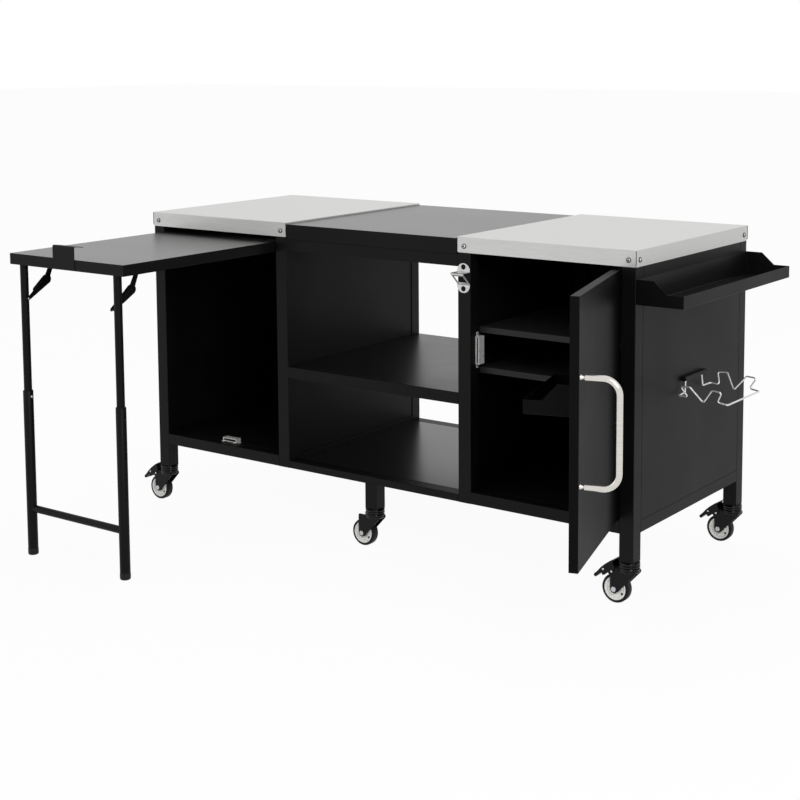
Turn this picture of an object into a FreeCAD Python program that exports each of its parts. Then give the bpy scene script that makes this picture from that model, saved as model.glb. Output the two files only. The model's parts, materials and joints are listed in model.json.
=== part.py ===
import FreeCAD, Part
import math
import os

import Sketcher

# Grill cart with storage: two end modules under steel covers, an open middle bay,
# a left door that lifts up as a side table on a folding leg frame, and a right door.
# Millimetres. +X runs to the right, -Y is the front, +Z is up, the floor is z = 0.
# Positions are written from the left front corner of the covers and moved by `centre`.

Vector = FreeCAD.Vector
X_AXIS = Vector(1, 0, 0)
Y_AXIS = Vector(0, 1, 0)
Z_AXIS = Vector(0, 0, 1)
DIAGONAL = Vector(1, 1, 1)

SIZES = (
    ("cart_length", 1650, "covers, left to right"),
    ("cart_depth", 650, "covers, front to back"),
    ("cart_height", 900, "floor to the steel covers"),
    ("end_cover_length", 530, "each steel cover"),
    ("cover_skirt", 42, "folded edge of every cover"),
    ("cover_sheet", 1.2, "cover steel"),
    ("middle_drop", 5, "middle cover below the steel ones"),
    ("middle_short", 2, "middle cover short of the back edge"),
    ("cover_gap", 0.4, "joint between covers"),
    ("post_size", 40, "square tube"),
    ("post_wall", 1.5, "tube wall"),
    ("post_inset", 2.5, "post face behind the cover edge"),
    ("bay_width", 446, "door opening of an end module"),
    ("middle_width", 593, "open middle bay"),
    ("corner_flat", 1.2, "bevel along the tube's corners"),
    ("caster_height", 113, "floor to post"),
    ("rail_base", 184, "underside of the bottom rails"),
    ("rail_rise", 32, "bottom rail of an end module"),
    ("middle_rise", 21, "bottom rail of the middle bay"),
    ("fascia_base", 820, "underside of the rail under the middle cover"),
    ("panel_depth", 15, "folded edge of panels and floors"),
    ("sheet", 1.2, "panel sheet"),
    ("divider_recess", 2, "divider sheet behind the post face"),
    ("shelf_top", 482, "middle shelf"),
    ("shelf_lip", 32, "middle shelf front"),
    ("shelf_depth", 642.5, "middle shelf, front to back"),
    ("upper_shelf", 658, "right module, upper shelf top"),
    ("lower_shelf", 550, "right module, lower shelf top"),
    ("small_lip", 16, "right module shelf front"),
    ("small_front", 44, "right module shelf front from the cover front"),
    ("small_depth", 588.5, "right module shelf, front to back"),
    ("flap_width", 440.5, "left door"),
    ("flap_length", 628, "left door"),
    ("flap_thick", 30, "left door pan"),
    ("flap_sheet", 1.5, "left door sheet"),
    ("flap_far", 23, "pivot to the far edge"),
    ("pivot_back", 17.5, "flap pivot behind the cover front"),
    ("pivot_height", 827, "flap pivot"),
    ("pivot_pin", 4, "pivot pin radius"),
    ("fit", 0.08, "running fit, radial"),
    ("leg_reach", 589.5, "flap pivot to leg pivot"),
    ("leg_drop", 3, "leg pivot below the flap pivot"),
    ("leg_spread", 364, "between the two legs"),
    ("upper_tube", 11, "upper leg tube radius"),
    ("lower_tube", 14, "lower leg tube radius"),
    ("leg_joint", 463, "top of the lower tubes"),
    ("leg_overlap", 60, "upper tube inside the lower one"),
    ("cross_tube", 10, "cross tube radius"),
    ("cross_height", 131, "cross tube"),
    ("foot_radius", 14.5, "foot cap"),
    ("foot_height", 18, "foot cap"),
    ("pivot_rod", 6, "rod between the leg tops, radius"),
    ("tube_wall", 1.5, "upper leg tube wall"),
    ("snap_button", 3.5, "spring button radius"),
    ("link_width", 12, "brace link"),
    ("link_thick", 2.5, "brace link"),
    ("brace_pin", 3, "brace pivot radius"),
    ("brace_side", 15, "leg's centre line to the inner link"),
    ("brace_gap", 0.4, "between the links, and beside them"),
    ("bracket", 2, "brace bracket plate"),
    ("brace_knob", 9.4, "head of the knee pin, radius"),
    ("brace_reach", 94, "leg pivot to the brace pivot on the flap"),
    ("brace_rise", 6, "brace pivot on the flap above the leg pivot"),
    ("brace_low", 104, "leg pivot to the brace pivot on the leg"),
    ("brace_ahead", 4, "brace pivot on the leg in front of the leg's line"),
    ("upper_link", 71.7, "brace link on the flap"),
    ("lower_link", 81, "brace link on the leg"),
    ("door_width", 441.3, "right door"),
    ("door_height", 628, "right door"),
    ("door_thick", 22, "right door"),
    ("door_base", 222, "underside of both doors when closed"),
    ("door_open", 106.7, "right door angle in the photographed state"),
    ("door_gap", 2, "post to the door edge"),
    ("hinge_edge", 3.7, "hinge line in from the door edge"),
    ("hinge_face", 2.9, "hinge line behind the door face"),
    ("hinge_pin", 1.5, "hinge pin radius"),
    ("handle_radius", 8, "bar handle"),
    ("handle_span", 249, "bar handle feet"),
    ("handle_reach", 88, "door face to the bar's centre"),
    ("handle_bend", 40, "bar handle bend"),
    ("handle_from_edge", 14, "bar handle to the door's free edge"),
    ("handle_middle", 542.5, "bar handle"),
    ("tray_depth", 126.5, "both trays"),
    ("tray_flat", 46, "high part of a tray end"),
    ("tray_slope", 82, "where the sloped part of a tray end stops"),
    ("side_tray_length", 640, "tray on the right side"),
    ("side_tray_base", 765, "tray on the right side"),
    ("side_tray_front", 8, "tray on the right side"),
    ("side_tray_low", 31.5, "outer wall"),
    ("side_tray_high", 63, "ends beside the panel"),
    ("door_tray_length", 300, "tray on the door"),
    ("door_tray_base", 560.4, "tray on the door"),
    ("door_tray_start", 70, "tray on the door, from the hinged edge"),
    ("door_tray_low", 33.6, "outer wall"),
    ("door_tray_high", 74, "ends beside the door"),
    ("wire", 2.25, "bag holder wire radius"),
    ("wire_height", 524, "bag holder loop"),
    ("wire_out", 1849, "outermost wire centre"),
    ("wheel", 37.5, "caster wheel radius"),
    ("wheel_width", 24, "caster wheel"),
    ("wheel_trail", 35, "swivel line to axle"),
    ("axle", 4, "caster axle radius"),
    ("fork_gap", 28, "between the fork plates"),
    ("fork_plate", 2.5, "fork plate"),
    ("crown_base", 84, "underside of the fork's crown"),
    ("crown_top", 96.5, "top of the fork's crown"),
    ("race", 26, "ball race radius"),
    ("race_base", 97, "underside of the ball race"),
    ("race_top", 107, "top of the ball race"),
    ("pedal_width", 38, "brake pedal tread"),
    ("pull_start", 177.5, "flap pull from the left post"),
    ("pull_length", 84, "flap pull"),
    ("pull_rise", 60, "flap pull"),
    ("pull_reach", 31.5, "flap pull's lip towards the cart"),
    ("opener_base", 743, "bottle opener's low end"),
    ("opener_width", 32, "bottle opener"),
    ("opener_hole", 2.75, "bottle opener's screw holes"),
    ("bag_bar_base", 531, "bag holder bar"),
    ("bag_bar_front", 258, "bag holder bar from the cover front"),
    ("bag_bar_length", 130, "bag holder bar"),
    ("bag_bar_depth", 13, "bag holder bar"),
    ("bag_bar_height", 12, "bag holder bar"),
)

doc = FreeCAD.newDocument("GrillCart")
sheet = doc.addObject("Spreadsheet::Sheet", "Sizes")
for row, (alias, amount, note) in enumerate(SIZES, start=1):
    sheet.set("A%d" % row, alias)
    sheet.set("B%d" % row, str(amount))
    sheet.setAlias("B%d" % row, alias)
    sheet.set("C%d" % row, note)
doc.recompute()


def size(alias):
    """The number in the sheet's cell of that name."""
    return float(sheet.get(alias))


# The outermost pieces: the left pedals and the wire, the pull and the rear casters
PULL_SHEET = 1.5
PEDAL_REACH = 99
CROWN_RADIUS = 27
FLAP_FRONT = size("pivot_back") + size("flap_far") - size("flap_length")
CORNER = size("post_inset") + size("post_size") / 2
MID_X = (size("wire_out") + size("wire") + CORNER - PEDAL_REACH) / 2
MID_Y = (size("cart_depth") - CORNER + CROWN_RADIUS + FLAP_FRONT - PULL_SHEET) / 2

# Where the posts stand, left to right, and the heights that several parts share
POST_X = (
    size("post_inset"),
    size("post_inset") + size("post_size") + size("bay_width"),
    size("cart_length") - size("post_inset") - 2 * size("post_size") - size("bay_width"),
    size("cart_length") - size("post_inset") - size("post_size"),
)
FRONT_Y = size("post_inset")
REAR_Y = size("cart_depth") - size("post_inset") - size("post_size")
COVER_UNDER = size("cart_height") - size("cover_sheet")
RAIL_TOP = size("rail_base") + size("rail_rise")
MIDDLE_FLOOR = size("rail_base") + size("middle_rise")
TOP_RAIL_BASE = COVER_UNDER - size("post_size")
MIDDLE_LEG_X = size("cart_length") / 2 - size("post_size") / 2
LEFT_BAY_X = POST_X[0] + size("post_size")
MIDDLE_BAY_X = POST_X[1] + size("post_size")
RIGHT_BAY_X = POST_X[2] + size("post_size")


def centre(x, y, z):
    """A point measured from the covers' left front corner, in the part's own frame."""
    return Vector(x - MID_X, y - MID_Y, z)


def place(x, y, z, *turns):
    """Placement at a measured point, turned by (axis, degrees) pairs, first one first."""
    rotation = FreeCAD.Rotation()
    for axis, degrees in turns:
        rotation = FreeCAD.Rotation(axis, degrees) * rotation
    return FreeCAD.Placement(centre(x, y, z), rotation)


def new_body(label, placement):
    body = doc.addObject("PartDesign::Body", label)
    body.Label = label
    body.Placement = placement
    return body


def new_sketch(body, plane, lift=0):
    """A sketch on one of the body's own origin planes, lifted along its normal."""
    sketch = body.newObject("Sketcher::SketchObject", body.Name + "_sketch")
    base = [item for item in body.Origin.OriginFeatures if item.Role == plane][0]
    sketch.AttachmentSupport = [(base, "")]
    sketch.MapMode = "FlatFace"
    sketch.AttachmentOffset = FreeCAD.Placement(Vector(0, 0, lift), FreeCAD.Rotation())
    return sketch


def rectangle(sketch, left, bottom, width, height):
    """A rectangle whose corner and sides are expressions of the sheet."""
    first = sketch.GeometryCount
    corners = (Vector(0, 0, 0), Vector(9, 0, 0), Vector(9, 9, 0), Vector(0, 9, 0))
    for index in range(4):
        sketch.addGeometry(Part.LineSegment(corners[index], corners[(index + 1) % 4]))
    for index in range(4):
        follower = first + (index + 1) % 4
        sketch.addConstraint(Sketcher.Constraint("Coincident", first + index, 2, follower, 1))
    for index, kind in enumerate(("Horizontal", "Vertical", "Horizontal", "Vertical")):
        sketch.addConstraint(Sketcher.Constraint(kind, first + index))
    spans = (
        ("DistanceX", -1, 1, first, 1, left),
        ("DistanceY", -1, 1, first, 1, bottom),
        ("DistanceX", first, 1, first, 2, width),
        ("DistanceY", first + 1, 1, first + 1, 2, height),
    )
    for kind, start, start_end, stop, stop_end, text in spans:
        if text == "0":
            axis = -2 if kind == "DistanceX" else -1
            sketch.addConstraint(Sketcher.Constraint("PointOnObject", stop, stop_end, axis))
            continue
        constraint = Sketcher.Constraint(kind, start, start_end, stop, stop_end, 9.0)
        number = sketch.addConstraint(constraint)
        sketch.setExpression("Constraints[%d]" % number, text)


def circle(sketch, x, y, radius):
    """A circle at a fixed point whose radius is an expression of the sheet."""
    number = sketch.addGeometry(Part.Circle(Vector(x, y, 0), Z_AXIS, 5))
    across = sketch.addConstraint(Sketcher.Constraint("Radius", number, 5.0))
    sketch.setExpression("Constraints[%d]" % across, radius)
    for kind, amount in (("DistanceX", x), ("DistanceY", y)):
        if amount == 0:
            axis = -2 if kind == "DistanceX" else -1
            sketch.addConstraint(Sketcher.Constraint("PointOnObject", number, 3, axis))
        else:
            sketch.addConstraint(Sketcher.Constraint(kind, -1, 1, number, 3, amount))


def outline(sketch, points):
    """A closed outline. A point (x, y) is a corner; (x, y, bulge_x, bulge_y) ends an arc."""
    previous = points[-1]
    for point in points:
        start = Vector(previous[0], previous[1], 0)
        stop = Vector(point[0], point[1], 0)
        if len(point) == 4:
            arc = Part.Arc(start, Vector(point[2], point[3], 0), stop)
            sketch.addGeometry(arc)
        else:
            sketch.addGeometry(Part.LineSegment(start, stop))
        previous = point


def pad(body, sketch, length, reverse=False, middle=False):
    feature = body.newObject("PartDesign::Pad", body.Name + "_pad")
    feature.Profile = sketch
    feature.Length = 10
    feature.setExpression("Length", length)
    feature.Reversed = reverse
    if middle:
        feature.SideType = "Symmetric"
    doc.recompute()
    return feature


def pocket(body, sketch, length, reverse=False, through=False):
    """A pocket that must take material away."""
    before = body.Shape.Volume
    feature = body.newObject("PartDesign::Pocket", body.Name + "_pocket")
    feature.Profile = sketch
    feature.Reversed = reverse
    if through:
        feature.Type = "ThroughAll"
        feature.SideType = "Symmetric"
    else:
        feature.Length = 10
        feature.setExpression("Length", length)
    doc.recompute()
    if body.Shape.Volume > before - 0.001:
        raise ValueError("pocket cuts nothing: " + body.Label)
    return feature


def dress(body, kind, amount, text, wanted):
    """Fillet or chamfer the edges of the body's last feature that the test accepts."""
    base = body.Tip
    names = ["Edge%d" % (n + 1) for n, edge in enumerate(base.Shape.Edges) if wanted(edge)]
    feature = body.newObject("PartDesign::" + kind, body.Name + "_" + kind.lower())
    feature.Base = (base, names)
    feature.setExpression(amount, text)
    doc.recompute()
    return feature


def along(edge, axis, least):
    """True for a straight edge along the axis, at least that long."""
    if not isinstance(edge.Curve, Part.Line):
        return False
    return abs(edge.Curve.Direction.dot(axis)) > 0.999 and edge.Length >= least


def group(label, members):
    """Separate solids of one kind in one sub-part."""
    compound = doc.addObject("Part::Compound", label)
    compound.Label = label
    compound.Links = members
    return compound


def from_shape(label, shape, placement):
    """A sub-part whose shape is worked out with Part's own functions."""
    feature = doc.addObject("Part::Feature", label)
    feature.Label = label
    feature.Shape = shape
    feature.Placement = placement
    return feature


# Square tubes


def tube(label, placement, width, depth, length, bevelled=True):
    """A rectangular tube that rises from its placement's corner."""
    body = new_body(label, placement)
    outer = new_sketch(body, "XY_Plane")
    rectangle(outer, "0", "0", width, depth)
    pad(body, outer, length)
    if bevelled:
        dress(body, "Chamfer", "Size", "Sizes.corner_flat", lambda edge: along(edge, Z_AXIS, 40))
    inner = new_sketch(body, "XY_Plane")
    wall = "Sizes.post_wall"
    rectangle(inner, wall, wall, "%s - 2 * %s" % (width, wall), "%s - 2 * %s" % (depth, wall))
    pocket(body, inner, length, reverse=True)
    return body


def post(label, number, y):
    """Corner posts stand on casters; the inner ones end at the bottom rails."""
    base = "caster_height" if number in (0, 3) else "rail_base"
    length = "Sizes.cart_height - Sizes.cover_sheet - Sizes." + base
    spot = place(POST_X[number], y, size(base))
    return tube(label, spot, "Sizes.post_size", "Sizes.post_size", length)


def rail_along_x(label, x, y, z, rise, length):
    """A rail from x to the right; its section is rise high and one post deep."""
    spot = place(x, y, z, (DIAGONAL, 120))
    return tube(label, spot, "Sizes.post_size", rise, length, bevelled=False)


def rail_along_y(label, x, z, rise):
    """A rail between a front post and a rear post."""
    spot = place(x, REAR_Y, z, (X_AXIS, 90))
    length = "Sizes.cart_depth - 2 * Sizes.post_inset - 2 * Sizes.post_size"
    return tube(label, spot, "Sizes.post_size", rise, length, bevelled=False)


def make_posts():
    for number in range(4):
        post("front_post_%d" % (number + 1), number, FRONT_Y)
    rear = [post("rear_post_%d" % (number + 1), number, REAR_Y) for number in range(4)]
    legs = []
    for name, y in (("front", FRONT_Y), ("rear", REAR_Y)):
        spot = place(MIDDLE_LEG_X, y, size("caster_height"))
        side = "Sizes.post_size"
        legs.append(tube("middle_leg_" + name, spot, side, side, "Sizes.rail_base - Sizes.caster_height"))
    return [group("rear_posts", rear), group("middle_legs", legs)]


def rail_row(name, y, z_end, rise_end, z_middle, rise_middle):
    """Three rails in line, between the posts of one side."""
    left = rail_along_x(name + "_left", LEFT_BAY_X, y, z_end, rise_end, "Sizes.bay_width")
    middle = rail_along_x(
        name + "_middle", MIDDLE_BAY_X, y, z_middle, rise_middle, "Sizes.middle_width"
    )
    right = rail_along_x(name + "_right", RIGHT_BAY_X, y, z_end, rise_end, "Sizes.bay_width")
    return [left, middle, right]


def make_rails():
    low = (size("rail_base"), "Sizes.rail_rise", size("rail_base"), "Sizes.middle_rise")
    fascia = "Sizes.cart_height - Sizes.middle_drop - Sizes.cover_skirt - Sizes.fascia_base"
    high = (TOP_RAIL_BASE, "Sizes.post_size", size("fascia_base"), fascia)
    front_low = rail_row("bottom_rail_front", FRONT_Y, *low)
    front_high = rail_row("top_rail_front", FRONT_Y, *high)
    rear = rail_row("bottom_rail_rear", REAR_Y, *low) + rail_row("top_rail_rear", REAR_Y, *high)
    cross = []
    for number, x in enumerate(POST_X, start=1):
        cross.append(rail_along_y("low_cross_rail_%d" % number, x, size("rail_base"), "Sizes.rail_rise"))
        cross.append(rail_along_y("high_cross_rail_%d" % number, x, TOP_RAIL_BASE, "Sizes.post_size"))
    return [
        group("bottom_rails_front", front_low),
        group("top_rails_front", front_high),
        group("rear_rails", rear),
        group("cross_rails", cross),
    ]


# Folded sheet: covers, floors, panels and shelves


def pan(label, placement, length, width, height, wall):
    """A folded sheet pan that is open below, from its placement's corner."""
    body = new_body(label, placement)
    outer = new_sketch(body, "XY_Plane")
    rectangle(outer, "0", "0", length, width)
    pad(body, outer, height)
    inner = new_sketch(body, "XY_Plane")
    rectangle(inner, wall, wall, "%s - 2 * %s" % (length, wall), "%s - 2 * %s" % (width, wall))
    pocket(body, inner, "%s - %s" % (height, wall), reverse=True)
    return body


def make_covers():
    skirt = "Sizes.cover_skirt"
    wall = "Sizes.cover_sheet"
    base = size("cart_height") - size("cover_skirt")
    right_x = size("cart_length") - size("end_cover_length")
    full = "Sizes.cart_depth"
    pan("cover_left", place(0, 0, base), "Sizes.end_cover_length", full, skirt, wall)
    pan("cover_right", place(right_x, 0, base), "Sizes.end_cover_length", full, skirt, wall)
    spot = place(size("end_cover_length") + size("cover_gap"), 0, base - size("middle_drop"))
    length = "Sizes.cart_length - 2 * Sizes.end_cover_length - 2 * Sizes.cover_gap"
    pan("cover_middle", spot, length, full + " - Sizes.middle_short", skirt, wall)


def make_floors():
    depth = "Sizes.cart_depth - 2 * Sizes.post_inset - 2 * Sizes.post_size"
    fold = "Sizes.panel_depth"
    front = FRONT_Y + size("post_size")
    ends = []
    for name, x in (("left", LEFT_BAY_X), ("right", RIGHT_BAY_X)):
        spot = place(x, front, RAIL_TOP - size("panel_depth"))
        ends.append(pan("floor_" + name, spot, "Sizes.bay_width", depth, fold, "Sizes.sheet"))
    spot = place(MIDDLE_BAY_X, front, MIDDLE_FLOOR - size("panel_depth"))
    pan("middle_floor", spot, "Sizes.middle_width", depth, fold, "Sizes.sheet")
    return [group("end_floors", ends)]


def make_panels():
    """Side, divider and back panels, each folded and set between the posts and rails."""
    across = "Sizes.cart_depth - 2 * Sizes.post_inset - 2 * Sizes.post_size"
    rise = "Sizes.cart_height - Sizes.cover_sheet - Sizes.post_size - Sizes.rail_base - Sizes.rail_rise"
    fold = "Sizes.panel_depth"
    front = FRONT_Y + size("post_size")
    back = REAR_Y
    inset = size("panel_depth")
    recess = size("divider_recess")
    face_right = ((DIAGONAL, 120),)
    face_left = ((DIAGONAL, 120), (Z_AXIS, 180))

    def facing_right(name, x):
        return pan(name, place(x - inset, front, RAIL_TOP, *face_right), across, rise, fold, "Sizes.sheet")

    def facing_left(name, x):
        return pan(name, place(x + inset, back, RAIL_TOP, *face_left), across, rise, fold, "Sizes.sheet")

    sides = [
        facing_left("side_panel_left", POST_X[0]),
        facing_right("side_panel_right", POST_X[3] + size("post_size")),
    ]
    dividers = [
        facing_right("divider_left", MIDDLE_BAY_X - recess),
        facing_left("divider_right", POST_X[2] + recess),
    ]
    backs = []
    for name, x in (("left", LEFT_BAY_X), ("right", RIGHT_BAY_X)):
        spot = place(x + size("bay_width"), REAR_Y + size("post_size") - inset, RAIL_TOP,
                     (X_AXIS, 90), (Z_AXIS, 180))
        backs.append(pan("back_panel_" + name, spot, "Sizes.bay_width", rise, fold, "Sizes.sheet"))
    return [group("side_panels", sides), group("divider_panels", dividers), group("back_panels", backs)]


def make_shelves():
    spot = place(MIDDLE_BAY_X, FRONT_Y, size("shelf_top") - size("shelf_lip"))
    pan("middle_shelf", spot, "Sizes.middle_width", "Sizes.shelf_depth", "Sizes.shelf_lip", "Sizes.sheet")
    pair = []
    for name in ("upper_shelf", "lower_shelf"):
        spot = place(RIGHT_BAY_X, size("small_front"), size(name) - size("small_lip"))
        lip = "Sizes.small_lip"
        pair.append(pan(name, spot, "Sizes.bay_width", "Sizes.small_depth", lip, "Sizes.sheet"))
    return [group("right_shelves", pair)]


# Flap and its folding legs

FLAP_X = LEFT_BAY_X + (size("bay_width") - size("flap_width")) / 2
FLAP_HALF = size("flap_thick") / 2
LEG_X = (
    FLAP_X + size("flap_width") / 2 - size("leg_spread") / 2,
    FLAP_X + size("flap_width") / 2 + size("leg_spread") / 2,
)
LEG_Y = size("pivot_back") - size("leg_reach")
LEG_Z = size("pivot_height") - size("leg_drop")
BRACE_SIDE = (1, -1)


def many_sided(sides, radius):
    """The corners of an outline whose flats are all at that radius."""
    corner = radius / math.cos(math.pi / sides)
    turns = [2 * math.pi * (number + 0.5) / sides for number in range(sides)]
    return [(corner * math.cos(turn), corner * math.sin(turn)) for turn in turns]


def cylinder_x(radius, x0, x1, y, z):
    return Part.makeCylinder(radius, x1 - x0, Vector(x0, y, z), X_AXIS)


def disc_x(radius, x0, x1, y, z):
    """A small twelve-sided disc across the cart."""
    corners = [Vector(x0, y + dy, z + dz) for dy, dz in many_sided(12, radius)]
    return Part.Face(Part.makePolygon(corners + corners[:1])).extrude(X_AXIS * (x1 - x0))


def make_flap():
    """The door that lifts up as a table: a pan with pivot holes in its sides."""
    spot = place(FLAP_X, FLAP_FRONT, size("pivot_height") - FLAP_HALF)
    body = pan("flap_panel", spot, "Sizes.flap_width", "Sizes.flap_length",
               "Sizes.flap_thick", "Sizes.flap_sheet")
    holes = new_sketch(body, "YZ_Plane")
    hole = "Sizes.pivot_pin + Sizes.fit"
    circle(holes, size("pivot_back") - FLAP_FRONT, FLAP_HALF, hole)
    circle(holes, LEG_Y - FLAP_FRONT, FLAP_HALF - size("leg_drop"), hole)
    pocket(body, holes, "", through=True)


def make_flap_pull():
    """A folded stainless pull on the flap's near end, its lip turned towards the cart."""
    low = 10
    lip_drop = 4
    spot = place(LEFT_BAY_X + size("pull_start"), FLAP_FRONT, size("pivot_height") - low)
    body = new_body("flap_pull", spot)
    sketch = new_sketch(body, "YZ_Plane")
    rise = size("pull_rise")
    reach = size("pull_reach")
    wall = PULL_SHEET
    bend = 5
    inner = bend - wall
    near = math.sqrt(0.5)
    outline(sketch, (
        (0, 0),
        (0, rise - bend),
        (inner, rise - wall, inner - inner * near, rise - bend + inner * near),
        (reach, rise - wall - lip_drop),
        (reach, rise - lip_drop),
        (bend - wall, rise),
        (-wall, rise - bend, bend - wall - bend * near, rise - bend + bend * near),
        (-wall, 0),
    ))
    pad(body, sketch, "Sizes.pull_length")


def make_flap_pins():
    """Pivot pins that stand out of the posts and carry the flap's sides."""
    gap = (size("bay_width") - size("flap_width")) / 2
    inside = 6
    pins = []
    for face, way in ((LEFT_BAY_X, 1), (LEFT_BAY_X + size("bay_width"), -1)):
        start = Vector(face, 0, 0)
        pins.append(Part.makeCylinder(size("pivot_pin"), gap + inside, start, X_AXIS * way))
    spot = place(0, size("pivot_back"), size("pivot_height"))
    from_shape("flap_pins", Part.Compound(pins), spot)


def link_shape(x0, start, stop):
    """A flat brace link with round ends; its pivot hole is at the start."""
    half = size("link_width") / 2
    run = stop - start
    bar = Part.makeBox(size("link_thick"), run.Length, 2 * half, Vector(x0, 0, -half))
    bar.rotate(Vector(0, 0, 0), X_AXIS, math.degrees(math.atan2(run.z, run.y)))
    bar.translate(Vector(0, start.y, start.z))
    ends = [
        cylinder_x(half, x0, x0 + size("link_thick"), point.y, point.z) for point in (start, stop)
    ]
    bore = size("brace_pin") + size("fit")
    hole = cylinder_x(bore, x0, x0 + size("link_thick"), start.y, start.z)
    return bar.fuse(ends).removeSplitter().cut(hole)


def brace_points():
    """The brace's pivots on flap and leg, and its knee, in the plane of the leg pivot."""
    on_flap = Vector(0, size("brace_reach"), size("brace_rise"))
    on_leg = Vector(0, -size("brace_ahead"), -size("brace_low"))
    chord = on_leg - on_flap
    upper = size("upper_link")
    lower = size("lower_link")
    along_chord = (upper ** 2 - lower ** 2 + chord.Length ** 2) / (2 * chord.Length)
    side = math.sqrt(upper ** 2 - along_chord ** 2)
    unit = Vector(chord).normalize()
    outward = Vector(0, -unit.z, unit.y)
    return on_flap, on_leg, on_flap + unit * along_chord + outward * side


def side_x(leg, near, far):
    """Left and right face of something beside a leg, from its distances to the centre line."""
    if BRACE_SIDE[leg] > 0:
        return LEG_X[leg] + near, LEG_X[leg] + far
    return LEG_X[leg] - far, LEG_X[leg] - near


INNER_LINK = (size("brace_side"), size("brace_side") + size("link_thick"))
OUTER_LINK = tuple(face + size("link_thick") + size("brace_gap") for face in INNER_LINK)


def make_braces():
    """Jack-knife braces: the upper links beside the legs, the lower ones further in."""
    on_flap, on_leg, knee = brace_points()
    head = 1.5
    uppers = []
    lowers = []
    for leg in (0, 1):
        uppers.append(link_shape(side_x(leg, *INNER_LINK)[0], on_flap, knee))
        lower = link_shape(side_x(leg, *OUTER_LINK)[0], on_leg, knee)
        start, stop = side_x(leg, OUTER_LINK[0], OUTER_LINK[1] + head)
        knob = disc_x(size("brace_knob"), start, stop, knee.y, knee.z)
        lowers.append(lower.fuse(knob).removeSplitter())
    spot = place(0, LEG_Y, LEG_Z)
    from_shape("brace_upper_links", Part.Compound(uppers), spot)
    from_shape("brace_lower_links", Part.Compound(lowers), spot)


def make_brace_brackets():
    """Small angle plates under the flap, between leg and link, with the upper pivots."""
    on_flap = brace_points()[0]
    top = FLAP_HALF - size("flap_sheet") + size("leg_drop")
    half = size("link_width") / 2
    wall = size("bracket")
    foot_length = 16
    shapes = []
    for leg in (0, 1):
        far = size("brace_side") - size("brace_gap")
        plate_x = side_x(leg, far - wall, far)[0]
        foot_x = side_x(leg, far - wall, far - wall + foot_length)[0]
        corner = Vector(plate_x, on_flap.y - half, on_flap.z - half)
        plate = Part.makeBox(wall, 2 * half, top - on_flap.z + half, corner)
        foot = Part.makeBox(foot_length, 2 * half, wall, Vector(foot_x, corner.y, top - wall))
        start, stop = side_x(leg, far - wall, INNER_LINK[1])
        pin = cylinder_x(size("brace_pin"), start, stop, on_flap.y, on_flap.z)
        shapes.append(plate.fuse([foot, pin]).removeSplitter())
    from_shape("brace_brackets", Part.Compound(shapes), place(0, LEG_Y, LEG_Z))


def upright(radius, x, z, length):
    """A vertical bar with narrow flats all round, which are all at that radius."""
    flats = 24
    corner = radius / math.cos(math.pi / flats)
    ring = []
    for number in range(flats + 1):
        angle = 2 * math.pi * (number + 0.5) / flats
        ring.append(Vector(x + corner * math.cos(angle), corner * math.sin(angle), z))
    return Part.Face(Part.makePolygon(ring)).extrude(Z_AXIS * length)


def make_upper_legs():
    """Two tubes hanging from a rod at the flap, with the pins of the lower brace links."""
    on_leg = brace_points()[1]
    radius = size("upper_tube")
    length = LEG_Z - size("leg_joint") + size("leg_overlap")
    rod_play = 0.3
    closed_top = 14
    above_pivot = 8
    shapes = []
    bores = []
    for leg, x in enumerate(LEG_X):
        shapes.append(upright(radius, x, -length, length + above_pivot))
        bores.append(upright(radius - size("tube_wall"), x, -length, length - closed_top))
        start, stop = side_x(leg, radius / 2, OUTER_LINK[1])
        shapes.append(cylinder_x(size("brace_pin"), start, stop, on_leg.y, on_leg.z))
    shapes.append(cylinder_x(size("pivot_rod"), LEG_X[0], LEG_X[1], 0, 0))
    left_end = FLAP_X + rod_play
    right_end = FLAP_X + size("flap_width") - rod_play
    stub = cylinder_x(size("pivot_pin"), left_end, right_end, 0, 0)
    frame = stub.fuse(shapes).cut(Part.Compound(bores)).removeSplitter()
    from_shape("leg_frame_upper", frame, place(0, LEG_Y, LEG_Z))


def make_lower_legs():
    """The tubes that slide over the upper ones, their cross tube, foot caps and buttons."""
    floor_gap = 3
    button_drop = 16
    button_out = 2.8
    length = size("leg_joint") - floor_gap
    cross = cylinder_x(size("cross_tube"), LEG_X[0], LEG_X[1], 0, size("cross_height"))
    tubes = []
    bores = []
    caps = []
    buttons = []
    for leg, x in enumerate(LEG_X):
        tubes.append(upright(size("lower_tube"), x, floor_gap, length))
        bores.append(upright(size("upper_tube") + size("fit"), x, floor_gap, length))
        cap = upright(size("foot_radius"), x, 0, size("foot_height"))
        caps.append(cap.cut(tubes[leg]))
        start, stop = side_x(leg, size("lower_tube") - 0.2, size("lower_tube") + button_out)
        height = size("leg_joint") - button_drop
        buttons.append(disc_x(size("snap_button"), start, stop, 0, height).cut(tubes[leg]))
    lower = cross.fuse(tubes).cut(Part.Compound(bores)).removeSplitter()
    from_shape("leg_frame_lower", lower, place(0, LEG_Y, 0))
    from_shape("foot_caps", Part.Compound(caps), place(0, LEG_Y, 0))
    from_shape("snap_buttons", Part.Compound(buttons), place(0, LEG_Y, 0))


# Right door: everything is built closed around the hinge line, then turned open

HINGE_X = POST_X[3] - size("door_gap") - size("hinge_edge")
HINGE_Y = size("post_inset") + size("hinge_face")
DOOR_LEFT = size("hinge_edge") - size("door_width")
DOOR_FACE = -size("hinge_face")
DOOR_INNER = DOOR_FACE + size("door_thick")


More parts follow.
